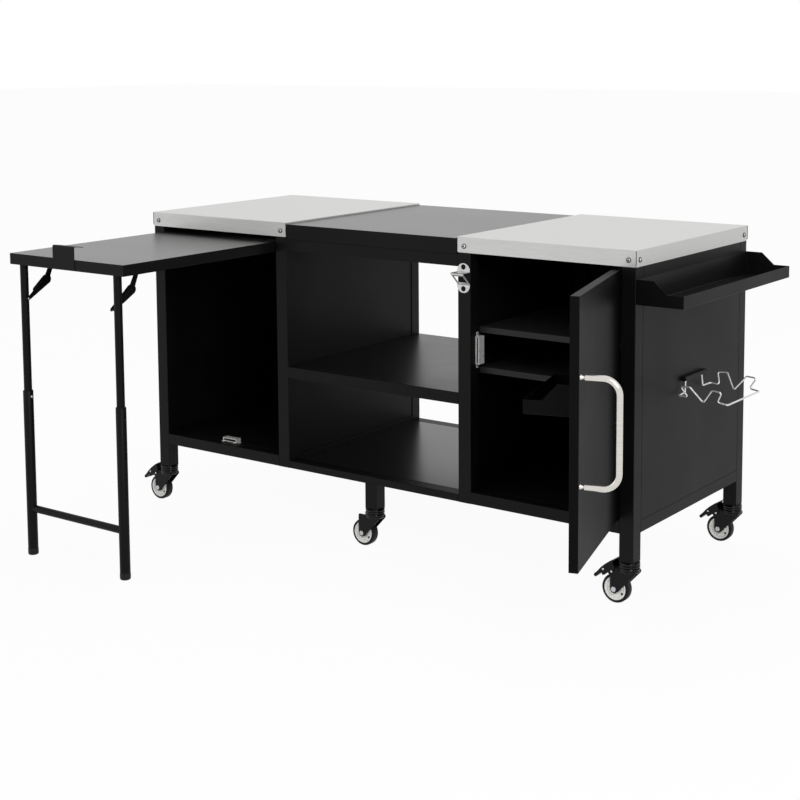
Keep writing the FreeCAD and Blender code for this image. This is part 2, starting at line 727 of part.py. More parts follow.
def on_door(x, y, z, *turns):
    """Placement of a piece of the door, measured from the hinge line with the door closed."""
    rotation = FreeCAD.Rotation()
    for axis, degrees in turns:
        rotation = FreeCAD.Rotation(axis, degrees) * rotation
    closed = FreeCAD.Placement(Vector(x, y, z), rotation)
    swing = FreeCAD.Placement(Vector(0, 0, 0), FreeCAD.Rotation(Z_AXIS, size("door_open")))
    hinge = FreeCAD.Placement(centre(HINGE_X, HINGE_Y, 0), FreeCAD.Rotation())
    return hinge.multiply(swing).multiply(closed)


def make_door():
    """A double-skinned door: a folded outer pan closed by an inner sheet, with pin holes."""
    outer = doc.addObject("Part::Box", "door_outer")
    inner = doc.addObject("Part::Box", "door_hollow")
    for box, trim in ((outer, ""), (inner, " - 2 * Sizes.sheet")):
        box.setExpression("Length", "Sizes.door_width" + trim)
        box.setExpression("Width", "Sizes.door_thick" + trim)
        box.setExpression("Height", "Sizes.door_height" + trim)
    inner.Placement.Base = Vector(size("sheet"), size("sheet"), size("sheet"))
    hole = doc.addObject("Part::Cylinder", "door_pin_hole")
    hole.setExpression("Radius", "Sizes.hinge_pin + Sizes.fit")
    hole.setExpression("Height", "Sizes.door_height")
    hole.Placement.Base = Vector(size("door_width") - size("hinge_edge"), size("hinge_face"), 0)
    tools = doc.addObject("Part::MultiFuse", "door_tools")
    tools.Shapes = [inner, hole]
    door = doc.addObject("Part::Cut", "door_panel")
    door.Label = "door_panel"
    door.Base = outer
    door.Tool = tools
    door.Placement = on_door(DOOR_LEFT, DOOR_FACE, size("door_base"))
    return door


def make_pivots():
    """The door's two corner pivots: a plate on the rail and a pin into the door."""
    plate = 2
    width = 16
    reach = 10
    door_top = size("door_base") + size("door_height")
    corner_y = FRONT_Y - HINGE_Y
    pivots = []
    for seat, door_end, way in ((RAIL_TOP, size("door_base"), 1), (TOP_RAIL_BASE, door_top, -1)):
        low = seat if way > 0 else seat - plate
        foot = Part.makeBox(width, width, plate, Vector(-0.7 * width, corner_y, low))
        length = abs(door_end - seat) + reach
        pin = Part.makeCylinder(size("hinge_pin"), length, Vector(0, 0, seat), Z_AXIS * way)
        pivots.append(foot.fuse(pin).removeSplitter())
    from_shape("door_pivots", Part.Compound(pivots), place(HINGE_X, HINGE_Y, 0))


def bent_path(points, radius, steps):
    """The points of a route whose corners are rounded, each bend in that many straight steps."""
    path = [points[0]]
    for before, corner, after in zip(points, points[1:], points[2:]):
        run_in = (corner - before).normalize()
        run_out = (after - corner).normalize()
        half_turn = run_in.getAngle(run_out) / 2
        room = 0.48 * min((corner - before).Length, (after - corner).Length)
        trim = min(radius * math.tan(half_turn), room)
        bend = trim / math.tan(half_turn)
        inward = (run_out - run_in).normalize()
        middle = corner + inward * (bend / math.cos(half_turn))
        for step in range(steps + 1):
            turn = half_turn * (2 * step / steps - 1)
            tangent = (run_in + run_out).normalize()
            path.append(middle - inward * (bend * math.cos(turn)) + tangent * (bend * math.sin(turn)))
    path.append(points[-1])
    return path


def bent_bar(points, radius, bend, steps, sides):
    """A bar bent along the points; its round section has that many flat sides."""
    path = bent_path(points, bend, steps)
    runs = [(after - before).normalize() for before, after in zip(path, path[1:])]
    across = runs[0].cross(Vector(1, 2, 3)).normalize()
    upward = runs[0].cross(across)
    ring = []
    for side in range(sides):
        angle = 2 * math.pi * side / sides
        ring.append(path[0] + across * (radius * math.cos(angle)) + upward * (radius * math.sin(angle)))
    faces = [Part.Face(Part.makePolygon(ring + ring[:1]))]
    for number, run in enumerate(runs):
        end = path[number + 1]
        mitre = run + runs[min(number + 1, len(runs) - 1)]
        following = [corner + run * ((end - corner).dot(mitre) / run.dot(mitre)) for corner in ring]
        for side in range(sides):
            beside = (side + 1) % sides
            quad = [ring[side], ring[beside], following[beside], following[side], ring[side]]
            faces.append(Part.Face(Part.makePolygon(quad)))
        ring = following
    faces.append(Part.Face(Part.makePolygon(ring + ring[:1])))
    shell = Part.Shell(faces)
    shell.sewShape()
    return Part.Solid(shell)


def make_handle():
    """A bent round bar on two thin necks, on the door's outer face."""
    x = DOOR_LEFT + size("handle_from_edge")
    low = size("handle_middle") - size("handle_span") / 2
    high = size("handle_middle") + size("handle_span") / 2
    neck = 7
    neck_radius = 5
    bar_y = DOOR_FACE - size("handle_reach")
    points = (
        Vector(x, DOOR_FACE - neck, low),
        Vector(x, bar_y, low),
        Vector(x, bar_y, high),
        Vector(x, DOOR_FACE - neck, high),
    )
    bar = bent_bar(points, size("handle_radius"), size("handle_bend"), 6, 12)
    necks = []
    for z in (low, high):
        necks.append(Part.makeCylinder(neck_radius, neck + 1, Vector(x, DOOR_FACE, z), Y_AXIS * -1))
    from_shape("door_handle", bar.fuse(necks).removeSplitter(), on_door(0, 0, 0))


def tray(label, placement, length, low, high):
    """A folded tray: high ends beside its panel, sloping to a low outer wall."""
    body = new_body(label, placement)
    profile = new_sketch(body, "XZ_Plane")
    depth = size("tray_depth")
    outline(profile, (
        (0, 0),
        (depth, 0),
        (depth, size(low)),
        (size("tray_slope"), size(low)),
        (size("tray_flat"), size(high)),
        (0, size(high)),
    ))
    pad(body, profile, "Sizes." + length, reverse=True)
    inside = new_sketch(body, "XY_Plane", size("sheet"))
    rectangle(inside, "Sizes.sheet", "Sizes.sheet", "Sizes.tray_depth - 2 * Sizes.sheet",
              "Sizes.%s - 2 * Sizes.sheet" % length)
    pocket(body, inside, "Sizes." + high, reverse=True)
    return body


def make_trays():
    right_face = POST_X[3] + size("post_size")
    spot = place(right_face, size("side_tray_front"), size("side_tray_base"))
    tray("side_tray", spot, "side_tray_length", "side_tray_low", "side_tray_high")
    start = size("hinge_edge") - size("door_tray_start")
    spot = on_door(start, DOOR_INNER, size("door_tray_base"), (Z_AXIS, 90))
    tray("door_tray", spot, "door_tray_length", "door_tray_low", "door_tray_high")


# Bag holder, bottle opener and catches


def make_bag_holder():
    """A black bar on the right panel and the bent wire loop that hangs from its ends."""
    face = POST_X[3] + size("post_size")
    edge_flat = 3
    height = size("wire_height")
    out = size("wire_out")
    bar_low = size("bag_bar_base")
    corner = Vector(face, size("bag_bar_front"), bar_low)
    bar = Part.makeBox(size("bag_bar_depth"), size("bag_bar_length"), size("bag_bar_height"), corner)
    front_edges = [edge for edge in bar.Edges if along(edge, Y_AXIS, 100)
                   and edge.CenterOfMass.x > face + 1]
    from_shape("bag_bracket", bar.makeChamfer(edge_flat, front_edges), place(0, 0, 0))
    plan = (
        (1656, 382), (1656, 404), (1670, 400), (1697, 283), (1710, 283), (1728, 306), (1668, 437),
        (1664, 460), (1685, 456), (1780, 272), (1793, 276), (1746, 436), (1756, 450), (1772, 440),
        (1809, 320), (1822, 296), (out, 288), (out, 104), (1818, 111), (1806, 132), (1787, 202),
        (1769, 227), (1748, 220), (1786, 106), (1770, 98), (1683, 228), (1656, 236), (1656, 264),
    )
    points = [Vector(x, y, height) for x, y in plan]
    points.insert(0, Vector(points[0].x, points[0].y, bar_low))
    points.append(Vector(points[-1].x, points[-1].y, bar_low))
    from_shape("bag_wire", bent_bar(points, size("wire"), 7, 2, 6), place(0, 0, 0))


def make_opener():
    """A bent stainless bottle opener on the right divider post, with a cap lip."""
    half = size("opener_width") / 2
    spot = place(POST_X[2] + size("post_size") / 2 - half, FRONT_Y, size("opener_base"))
    body = new_body("bottle_opener", spot)
    profile = new_sketch(body, "YZ_Plane")
    wall = 2
    out = 33
    lug = 30.5
    top = 91
    upper_lug = 63
    outline(profile, (
        (0, 0), (0, lug + 1.5), (wall - out, 57.5), (wall - out, 60), (0, upper_lug), (0, top),
        (-wall, top), (-wall, upper_lug + wall), (-out, 62), (-out, 56.5), (-wall, lug), (-wall, 0),
    ))
    pad(body, profile, "Sizes.opener_width")
    mouth = new_sketch(body, "XY_Plane", 45)
    rectangle(mouth, "Sizes.opener_width / 4", "-27", "Sizes.opener_width / 2", "22")
    pocket(body, mouth, "40")
    holes = new_sketch(body, "XZ_Plane")
    for height in (half, top - half):
        circle(holes, half, height, "Sizes.opener_hole")
    pocket(body, holes, "", through=True)
    dress(body, "Fillet", "Radius", "Sizes.opener_width / 2 - 0.5",
          lambda edge: along(edge, Y_AXIS, wall - 0.1) and edge.Length < wall + 0.1
          and (edge.CenterOfMass.z < 0.1 or edge.CenterOfMass.z > top - 0.1))


def make_catches():
    """Magnetic catches: one on the divider post, one on the left module's floor."""
    right = doc.addObject("Part::Box", "catch_right")
    right.Length, right.Width, right.Height = 12, 25, 75
    right.Placement = place(RIGHT_BAY_X, 25, 559)
    left = doc.addObject("Part::Box", "catch_left")
    left.Length, left.Width, left.Height = 54, 20, 12
    left.Placement = place(239, 34, RAIL_TOP)
    return [group("magnetic_catches", [left, right])]


# Casters

CASTERS = (
    ("front_left", POST_X[0], FRONT_Y, True),
    ("front_middle", MIDDLE_LEG_X, FRONT_Y, False),
    ("front_right", POST_X[3], FRONT_Y, True),
    ("rear_left", POST_X[0], REAR_Y, True),
    ("rear_middle", MIDDLE_LEG_X, REAR_Y, False),
    ("rear_right", POST_X[3], REAR_Y, True),
)
BRAKE_PIVOT = (-54, 86)
BRAKE_PIN = 2.5


def make_housing(name, x, y):
    """The fixed top of a caster: a square plate under the post and a round ball race."""
    side = size("post_size")
    race_rise = size("race_top") - size("race_base")
    race = Part.makeCylinder(size("race"), race_rise, Vector(x, y, size("race_base")))
    plate_rise = size("caster_height") - size("race_top")
    plate = Part.makeBox(side, side, plate_rise, Vector(x - side / 2, y - side / 2, size("race_top")))
    return race.fuse(plate)


def make_fork(name, x, y, braked):
    """The swivelling fork: a round crown, two tapering plates, the axle and its nuts."""
    body = new_body("fork_" + name, place(x, y, 0))
    trail = -size("wheel_trail")
    axle_z = size("wheel")
    crown_base = size("crown_base")
    plates = new_sketch(body, "XZ_Plane")
    ear = -60 if braked else -49
    outline(plates, (
        (ear, 92), (ear, 80), (-47, 66), (-47, axle_z), (-41, 27), (-30, 27),
        (12, 70), (26, crown_base), (26, 90), (-20, 90), (-20, 92),
    ))
    pad(body, plates, "Sizes.fork_gap + 2 * Sizes.fork_plate", middle=True)
    crown = new_sketch(body, "XY_Plane", crown_base)
    outline(crown, many_sided(24, CROWN_RADIUS))
    pad(body, crown, "Sizes.crown_top - Sizes.crown_base")
    if braked:
        pin = new_sketch(body, "XZ_Plane")
        circle(pin, *BRAKE_PIVOT, "%g" % BRAKE_PIN)
        pad(body, pin, "Sizes.pedal_width", middle=True)
    slot = new_sketch(body, "YZ_Plane")
    rectangle(slot, "-Sizes.fork_gap / 2", "10", "Sizes.fork_gap", "Sizes.crown_base - 10")
    pocket(body, slot, "", through=True)
    back = new_sketch(body, "XY_Plane", crown_base)
    rectangle(back, "-70", "-Sizes.fork_gap / 2", "41", "Sizes.fork_gap")
    pocket(body, back, "20", reverse=True)
    axle = new_sketch(body, "XZ_Plane")
    circle(axle, trail, axle_z, "Sizes.axle")
    pad(body, axle, "Sizes.fork_gap + Sizes.fork_plate", middle=True)
    corners = [(trail + dx, axle_z + dz) for dx, dz in many_sided(6, 5.6)]
    for reverse in (False, True):
        lift = (size("fork_gap") / 2 + size("fork_plate")) * (-1 if reverse else 1)
        nut = new_sketch(body, "XZ_Plane", lift)
        outline(nut, corners)
        pad(body, nut, "4", reverse=reverse)
    return body


def make_wheel(name, x, y):
    """A solid wheel with its tread moulded on; the tread's edges are bevelled."""
    bore = size("axle") + 0.05
    half = size("wheel_width") / 2
    outer = size("wheel")
    bevel = 4
    rings = []
    for across, radius in (
        (-half, outer - bevel), (bevel - half, outer), (half - bevel, outer), (half, outer - bevel),
    ):
        points = [Vector(dx, across, dz) for dx, dz in many_sided(32, radius)]
        rings.append(points + points[:1])
    loops = [rings[0], rings[-1]]
    for low, high in zip(rings, rings[1:]):
        for i in range(len(low) - 1):
            loops.append([low[i], low[i + 1], high[i + 1], high[i], low[i]])
    faces = [Part.Face(Part.makePolygon(loop)) for loop in loops]
    tyre = Part.Solid(Part.Shell(faces))
    hole = Part.makeCylinder(bore, 2 * half, Vector(0, -half, 0), Y_AXIS)
    spot = place(x - size("wheel_trail"), y, size("wheel"))
    from_shape("wheel_" + name, tyre.cut(hole), spot)


def make_pedal(name, x, y):
    """The brake pedal: a sloping tread on two cheeks beside the fork plates."""
    body = new_body("pedal_" + name, place(x, y, 0))
    tread = new_sketch(body, "XZ_Plane")
    outline(tread, (
        (-PEDAL_REACH, 63), (2 - PEDAL_REACH, 60), (-91, 61.5), (-80, 78), (-66, 95), (-50, 106),
        (-36, 114), (-38, 117), (-52, 109.5), (-69, 98), (-83, 80.5), (-92, 67),
    ))
    pad(body, tread, "Sizes.pedal_width", middle=True)
    inner = size("fork_gap") / 2 + size("fork_plate") + 0.4
    for back in (False, True):
        cheek = new_sketch(body, "XZ_Plane", -inner if back else inner)
        outline(cheek, (
            (-80, 78), (-68, 80), (-60, 83), (-52, 79), (-46, 86), (-44, 104), (-42, 111),
            (-52, 107), (-68, 96),
        ))
        pad(body, cheek, "%g" % (size("pedal_width") / 2 - inner), reverse=back)
    holes = new_sketch(body, "XZ_Plane")
    pivot_x, pivot_z = BRAKE_PIVOT
    corners = many_sided(12, BRAKE_PIN + size("fit"))
    outline(holes, [(pivot_x + dx, pivot_z + dz) for dx, dz in corners])
    pocket(body, holes, "", through=True)


def make_casters():
    half = size("post_size") / 2
    housings = []
    for name, x, y, braked in CASTERS:
        housings.append(make_housing(name, x + half, y + half))
        make_fork(name, x + half, y + half, braked)
        make_wheel(name, x + half, y + half)
        if braked:
            make_pedal(name, x + half, y + half)
    from_shape("caster_housings", Part.Compound(housings), place(0, 0, 0))


def members_of(groups):
    inside = set()
    for item in groups:
        inside.update(member.Name for member in item.Links)
    return inside


def main():
    groups = make_posts() + make_rails() + make_floors() + make_panels() + make_shelves()
    make_covers()
    make_flap()
    make_flap_pull()
    make_flap_pins()
    make_upper_legs()
    make_lower_legs()
    make_braces()
    make_brace_brackets()
    make_door()
    make_pivots()
    make_handle()
    make_trays()
    make_bag_holder()
    make_opener()
    groups += make_catches()
    make_casters()
    doc.recompute()

    skip = members_of(groups)
    kinds = ("PartDesign::Body", "Part::Feature", "Part::Compound", "Part::Cut")
    nodes = [item for item in doc.Objects if item.TypeId in kinds and item.Name not in skip]
    for item in doc.Objects:
        if "Invalid" in item.State or "Error" in item.State:
            raise ValueError("object failed: " + item.Label)
    os.makedirs("parts", exist_ok=True)
    for node in nodes:
        if node.Shape.isNull() or not node.Shape.isValid():
            raise ValueError("bad shape: " + node.Label)
        node.Shape.exportStep(os.path.join("parts", node.Label + ".step"))
    total = Part.Compound([node.Shape for node in nodes]).BoundBox
    print("nodes", len(nodes))
    print("box", total)


main()
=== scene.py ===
import functools
import json
import math

import bmesh
import bpy
from mathutils import Matrix, Vector

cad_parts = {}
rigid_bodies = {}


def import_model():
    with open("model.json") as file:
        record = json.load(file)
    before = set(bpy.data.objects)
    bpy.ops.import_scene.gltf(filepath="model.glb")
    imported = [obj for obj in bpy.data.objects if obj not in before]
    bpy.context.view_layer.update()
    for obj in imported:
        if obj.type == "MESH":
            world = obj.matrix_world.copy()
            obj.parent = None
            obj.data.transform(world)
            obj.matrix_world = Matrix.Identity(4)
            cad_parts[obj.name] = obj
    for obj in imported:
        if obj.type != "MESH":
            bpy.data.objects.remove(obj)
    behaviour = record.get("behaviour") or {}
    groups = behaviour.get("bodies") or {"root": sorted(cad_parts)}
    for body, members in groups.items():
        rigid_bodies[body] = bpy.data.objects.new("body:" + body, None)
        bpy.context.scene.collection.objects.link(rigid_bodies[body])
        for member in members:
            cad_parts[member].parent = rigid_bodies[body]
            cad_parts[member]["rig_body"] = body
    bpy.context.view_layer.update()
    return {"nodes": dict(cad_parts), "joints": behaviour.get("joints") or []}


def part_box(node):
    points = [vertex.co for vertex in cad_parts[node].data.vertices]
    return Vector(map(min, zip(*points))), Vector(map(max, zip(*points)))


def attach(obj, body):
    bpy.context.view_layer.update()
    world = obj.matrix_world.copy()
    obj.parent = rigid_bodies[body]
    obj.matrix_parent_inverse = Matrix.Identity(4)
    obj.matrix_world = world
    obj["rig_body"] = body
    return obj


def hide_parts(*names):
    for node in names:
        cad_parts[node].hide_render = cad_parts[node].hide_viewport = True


# Grill cart with storage. Lengths are in metres; one written in millimetres is times MM.
# +X runs to the right, -Y is the front, +Z is up, the floor is z = 0.

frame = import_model()
MM = 0.001
X_AXIS = Vector((1, 0, 0))
Y_AXIS = Vector((0, 1, 0))
Z_AXIS = Vector((0, 0, 1))
JOINTS = {joint["name"]: joint for joint in frame["joints"]}


# Materials

NOISE_LOW = 0.3
NOISE_HIGH = 0.7


def new_material(name, colour, roughness, metallic, ior):
    """A material whose even properties are set on the shader's own sockets."""
    material = bpy.data.materials.new(name)
    material.use_nodes = True
    shader = material.node_tree.nodes["Principled BSDF"]
    shader.inputs["Base Color"].default_value = (*colour, 1)
    shader.inputs["Roughness"].default_value = roughness
    shader.inputs["Metallic"].default_value = metallic
    shader.inputs["IOR"].default_value = ior
    return material, shader


def noise(material, scale, stretch=(1, 1, 1), detail=3.0):
    """Noise in the object's own metres, stretched per axis."""
    tree = material.node_tree
    place = tree.nodes.new("ShaderNodeTexCoord")
    mapping = tree.nodes.new("ShaderNodeMapping")
    mapping.inputs["Scale"].default_value = stretch
    texture = tree.nodes.new("ShaderNodeTexNoise")
    texture.inputs["Scale"].default_value = scale
    texture.inputs["Detail"].default_value = detail
    tree.links.new(place.outputs["Object"], mapping.inputs["Vector"])
    tree.links.new(mapping.outputs["Vector"], texture.inputs["Vector"])
    return texture.outputs["Fac"]


def vary(material, shader, socket, source, low, high):
    """Drives a number of the shader from noise, between two limits."""
    tree = material.node_tree
    spread = tree.nodes.new("ShaderNodeMapRange")
    spread.inputs["From Min"].default_value = NOISE_LOW
    spread.inputs["From Max"].default_value = NOISE_HIGH
    spread.inputs["To Min"].default_value = low
    spread.inputs["To Max"].default_value = high
    tree.links.new(source, spread.inputs["Value"])
    tree.links.new(spread.outputs["Result"], shader.inputs[socket])


def tint(material, shader, source, dark, light):
    """Drives the base colour from noise, between two colours."""
    tree = material.node_tree
    ramp = tree.nodes.new("ShaderNodeValToRGB")
    for stop, position, colour in zip(
        ramp.color_ramp.elements, (NOISE_LOW, NOISE_HIGH), (dark, light)
    ):
        stop.position = position
        stop.color = (*colour, 1)
    tree.links.new(source, ramp.inputs["Fac"])
    tree.links.new(ramp.outputs["Color"], shader.inputs["Base Color"])


def roughen(material, shader, source, height):
    """Bumps the surface by noise; height is in metres."""
    tree = material.node_tree
    bump = tree.nodes.new("ShaderNodeBump")
    bump.inputs["Distance"].default_value = height
    bump.inputs["Strength"].default_value = 1
    tree.links.new(source, bump.inputs["Height"])
    tree.links.new(bump.outputs["Normal"], shader.inputs["Normal"])


def powder_coat(name, dark, light, rough_low, rough_high, ior):
    """Black powder coat: a fine orange peel, slightly uneven gloss and tone."""
    material, shader = new_material(name, light, rough_high, 0, ior)
    tint(material, shader, noise(material, scale=4, detail=2), dark, light)
    cloud = noise(material, scale=5, detail=2)
    vary(material, shader, "Roughness", cloud, rough_low, rough_high)
    roughen(material, shader, noise(material, scale=700, detail=1), 0.01 * MM)
    return material


def brushed(name, stretch, dark, light, rough_low, rough_high, metallic):
    """Brushed stainless steel: streaks along one axis in tone, gloss and height."""
    material, shader = new_material(name, light, rough_high, metallic, 1.5)
    tint(material, shader, noise(material, 14, stretch, detail=5), dark, light)
    streaks = noise(material, 25, stretch, detail=4)
    vary(material, shader, "Roughness", streaks, rough_low, rough_high)
    roughen(material, shader, noise(material, 60, stretch, detail=3), 0.015 * MM)
    return material


def moulded(name, dark, light, rough_low, rough_high, grain, height, metallic=0, ior=1.5):
    """Plastic, rubber or plating: an even grain and a slightly cloudy tone."""
    material, shader = new_material(name, light, rough_high, metallic, ior)
    tint(material, shader, noise(material, scale=40), dark, light)
    vary(material, shader, "Roughness", noise(material, scale=70), rough_low, rough_high)
    roughen(material, shader, noise(material, scale=grain, detail=2), height)
    return material


BLACK_COAT = powder_coat(
    "black_powder_coat", (0.003, 0.0031, 0.003), (0.0045, 0.0047, 0.0045), 0.4, 0.46, ior=1.2
)
# A lighter, more reflective copy of the black powder coat for upward faces: painted light on the
# tops.
TOP_LIT_COAT = powder_coat(
    "black_top_lit_coat", (0.0055, 0.0057, 0.0055), (0.006, 0.0062, 0.006), 0.282, 0.292, ior=1.52
)
SHELF_COAT = powder_coat(
    "black_shelf_top", (0.003, 0.0031, 0.003), (0.004, 0.0041, 0.004), 0.3, 0.34, ior=1.36
)
# A darker, less reflective copy of the black powder coat for the door and its tray: painted shade.
DOOR_SHADED_COAT = powder_coat(
    "black_door_shaded_coat", (0.0016, 0.0016, 0.0015), (0.0024, 0.0025, 0.0023), 0.42, 0.48, ior=1.15
)
INNER_COAT = powder_coat(
    "black_inner_coat", (0.003, 0.0031, 0.003), (0.004, 0.0041, 0.004), 0.4, 0.5, ior=1.2
)
EDGE_COAT = powder_coat(
    "black_shelf_coat", (0.010, 0.0105, 0.010), (0.013, 0.0135, 0.013), 0.4, 0.46, ior=1.3
)
CASTER_COAT = powder_coat(
    "caster_gloss_black", (0.002, 0.002, 0.002), (0.003, 0.003, 0.003), 0.14, 0.22, ior=1.25
)
RACE_COAT = powder_coat(
    "caster_race_black", (0.001, 0.001, 0.001), (0.002, 0.002, 0.002), 0.06, 0.1, ior=1.3
)
STEEL_TOP = brushed(
    "stainless_top", (1, 30, 30), (0.52, 0.52, 0.51), (0.58, 0.58, 0.57), 0.3, 0.38, metallic=0.7
)
STEEL_BAR = brushed(
    "stainless_bar", (1, 1, 30), (0.62, 0.59, 0.55), (0.72, 0.7, 0.665), 0.13, 0.19, metallic=0.95
)
STEEL_WIRE = brushed(
    "stainless_wire", (8, 8, 8), (0.62, 0.61, 0.6), (0.74, 0.735, 0.72), 0.16, 0.26, metallic=0.6
)
STEEL_PART = brushed(
    "stainless_part", (3, 3, 3), (0.55, 0.55, 0.54), (0.66, 0.66, 0.65), 0.28, 0.4, metallic=0.7
)
NICKEL = moulded(
    "nickel_plate", (0.6, 0.6, 0.58), (0.7, 0.7, 0.68), 0.25, 0.35,
    grain=300, height=0.005 * MM, metallic=0.25,
)
ZINC = moulded(
    "zinc_fastener", (0.42, 0.44, 0.45), (0.56, 0.58, 0.59), 0.25, 0.35,
    grain=300, height=0.005 * MM, metallic=0.8,
)
BLACK_PLASTIC = moulded(
    "black_plastic", (0.004, 0.004, 0.004), (0.007, 0.007, 0.007), 0.45, 0.6,
    grain=1500, height=0.02 * MM, ior=1.3,
)
TYRE_RUBBER = moulded(
    "tyre_rubber", (0.003, 0.003, 0.003), (0.005, 0.005, 0.005), 0.4, 0.5,
    grain=1200, height=0.02 * MM, ior=1.25,
)
WHEEL_PLASTIC = moulded(
    "wheel_plastic", (0.78, 0.78, 0.75), (0.84, 0.84, 0.81), 0.35, 0.5,
    grain=1000, height=0.01 * MM,
)


# Mesh tools

WELD = 1e-6  # points nearer than this are one
FLAT_ANGLE = math.radians(0.5)  # faces with less of a fold between them are one
SHARP_ANGLE = math.radians(30)
BROAD_FACE = 5 * MM  # narrower faces are a sheet's edges
SHEET_RIM = 0.35 * MM  # rounding of a sheet's edges
STRAIGHT = 1e-3  # half a turn that is no corner yet
LONGEST_TRIM = 0.48  # the most of a run that a rounded corner takes up
DOME_TAPER = 1.2  # how much more a bar's end narrows than it stands out


def new_mesh(name, shape):
    """A mesh out of a bmesh, which is freed."""
    mesh = bpy.data.meshes.new(name)
    shape.to_mesh(mesh)
    shape.free()
    return mesh


def new_object(name, data):
    """An object in the scene that shows the data."""
    item = bpy.data.objects.new(name, data)
    bpy.context.scene.collection.objects.link(item)
    return item


def finish_mesh(name, shapes, body, material, smooth_angle=35, edge=None):
    """Makes one piece of bmeshes that rides on a body, with its edges rounded by edge."""
    mesh = new_mesh(name, joined(shapes))
    mesh.materials.append(material)
    mesh.shade_smooth()
    mesh.set_sharp_from_angle(angle=math.radians(smooth_angle))
    piece = new_object(name, mesh)
    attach(piece, body)
    if edge:
        soften(piece, edge, segments=2)
    return piece


def soften(piece, width, segments, weights=False):
    """A bevel modifier on the piece's sharp edges, or on its weighted ones."""
    bevel = piece.modifiers.new("edges", "BEVEL")
    bevel.width = width
    bevel.segments = segments
    bevel.limit_method = "WEIGHT" if weights else "ANGLE"
    bevel.angle_limit = SHARP_ANGLE
    bevel.harden_normals = True


def face_breadth(face):
    return face.calc_area() / max(edge.calc_length() for edge in face.edges)


def refined(node, material=BLACK_COAT, fold=1.4 * MM, top=None):
    """A CAD node's own shape with rounded folds and softened sheet edges, in its place.

    Its upper faces take the material called top, where one is given.
    """
    source = frame["nodes"][node]
    shape = bmesh.new()
    shape.from_mesh(source.data)
    bmesh.ops.remove_doubles(shape, verts=shape.verts, dist=WELD)
    bmesh.ops.dissolve_limit(
        shape, angle_limit=FLAT_ANGLE, verts=shape.verts, edges=shape.edges
    )
    weight = shape.edges.layers.float.new("bevel_weight_edge")
    for edge in shape.edges:
        if len(edge.link_faces) == 2 and edge.calc_face_angle() > SHARP_ANGLE:
            broad = min(face_breadth(face) for face in edge.link_faces) > BROAD_FACE
            edge[weight] = 1.0 if broad else SHEET_RIM / fold
    if top:
        # upward faces take the top material; where that is the lighter top coat, it paints light
        # on them
        for face in shape.faces:
            face.material_index = int(face.normal.z > 0.9)
    piece = finish_mesh(node + ".form", [shape], source["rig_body"], material)
    if top:
        piece.data.materials.append(top)
    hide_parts(node)
    soften(piece, fold, segments=3, weights=True)


def in_metres(points):
    """Pairs of measures in millimetres, as metres."""
    return [(first * MM, second * MM) for first, second in points]


def circle_steps(count):
    """The angles of evenly spaced points round a circle."""
    return [2 * math.pi * step / count for step in range(count)]


def quarter_steps(count=5):
    """The angles of evenly spaced points along a quarter of a circle, with both ends."""
    return [math.pi / 2 * step / count for step in range(count + 1)]


def aimed(origin, axis):
    """A placement at a point, with its own Z along an axis."""
    return Matrix.Translation(origin) @ axis.to_track_quat("Z", "Y").to_matrix().to_4x4()


def turned(profile, origin, axis, segments, closed=False):
    """A body of revolution: (radius, height) points about an axis, closed to a ring if asked."""
    shape = bmesh.new()
    rings = []
    for radius, height in profile:
        if radius == 0:
            rings.append([shape.verts.new((0, 0, height))])
            continue
        rings.append([
            shape.verts.new((radius * math.cos(angle), radius * math.sin(angle), height))
            for angle in circle_steps(segments)
        ])
    pairs = list(zip(rings, rings[1:]))
    if closed:
        pairs.append((rings[-1], rings[0]))
    for low, high in pairs:
        if len(low) == 1 and len(high) == 1:
            continue
        for step in range(segments):
            after = (step + 1) % segments
            if len(low) == 1:
                shape.faces.new((low[0], high[after], high[step]))
            elif len(high) == 1:
                shape.faces.new((low[step], low[after], high[0]))
            else:
                shape.faces.new((low[step], low[after], high[after], high[step]))
    bmesh.ops.recalc_face_normals(shape, faces=shape.faces)
    bmesh.ops.transform(shape, matrix=aimed(origin, axis), verts=shape.verts)
    return shape


def ring_profile(half):
    """A closed profile from its upper half: the same points again, mirrored in height."""
    upper = in_metres(half)
    return upper + [(radius, -height) for radius, height in reversed(upper)]


def rounded_path(points, radius, steps):
    """The points of a route with its corners rounded."""
    path = [points[0]]
    for before, corner, after in zip(points, points[1:], points[2:]):
        run_in = (corner - before).normalized()
        run_out = (after - corner).normalized()
        half = run_in.angle(run_out) / 2
        if half < STRAIGHT:
            path.append(corner)
            continue
        shorter = min((corner - before).length, (after - corner).length)
        bend = min(radius * math.tan(half), LONGEST_TRIM * shorter) / math.tan(half)
        inward = (run_out - run_in).normalized()
        tangent = (run_in + run_out).normalized()
        middle = corner + inward * (bend / math.cos(half))
        for step in range(steps + 1):
            turn = half * (2 * step / steps - 1)
            along = tangent * (bend * math.sin(turn))
            path.append(middle - inward * (bend * math.cos(turn)) + along)
    path.append(points[-1])
    return path


def headings(path):
    """The direction of a path at each of its points."""
    ends = zip([path[0], *path], [*path[1:], path[-1]])
    return [(after - before).normalized() for before, after in ends]


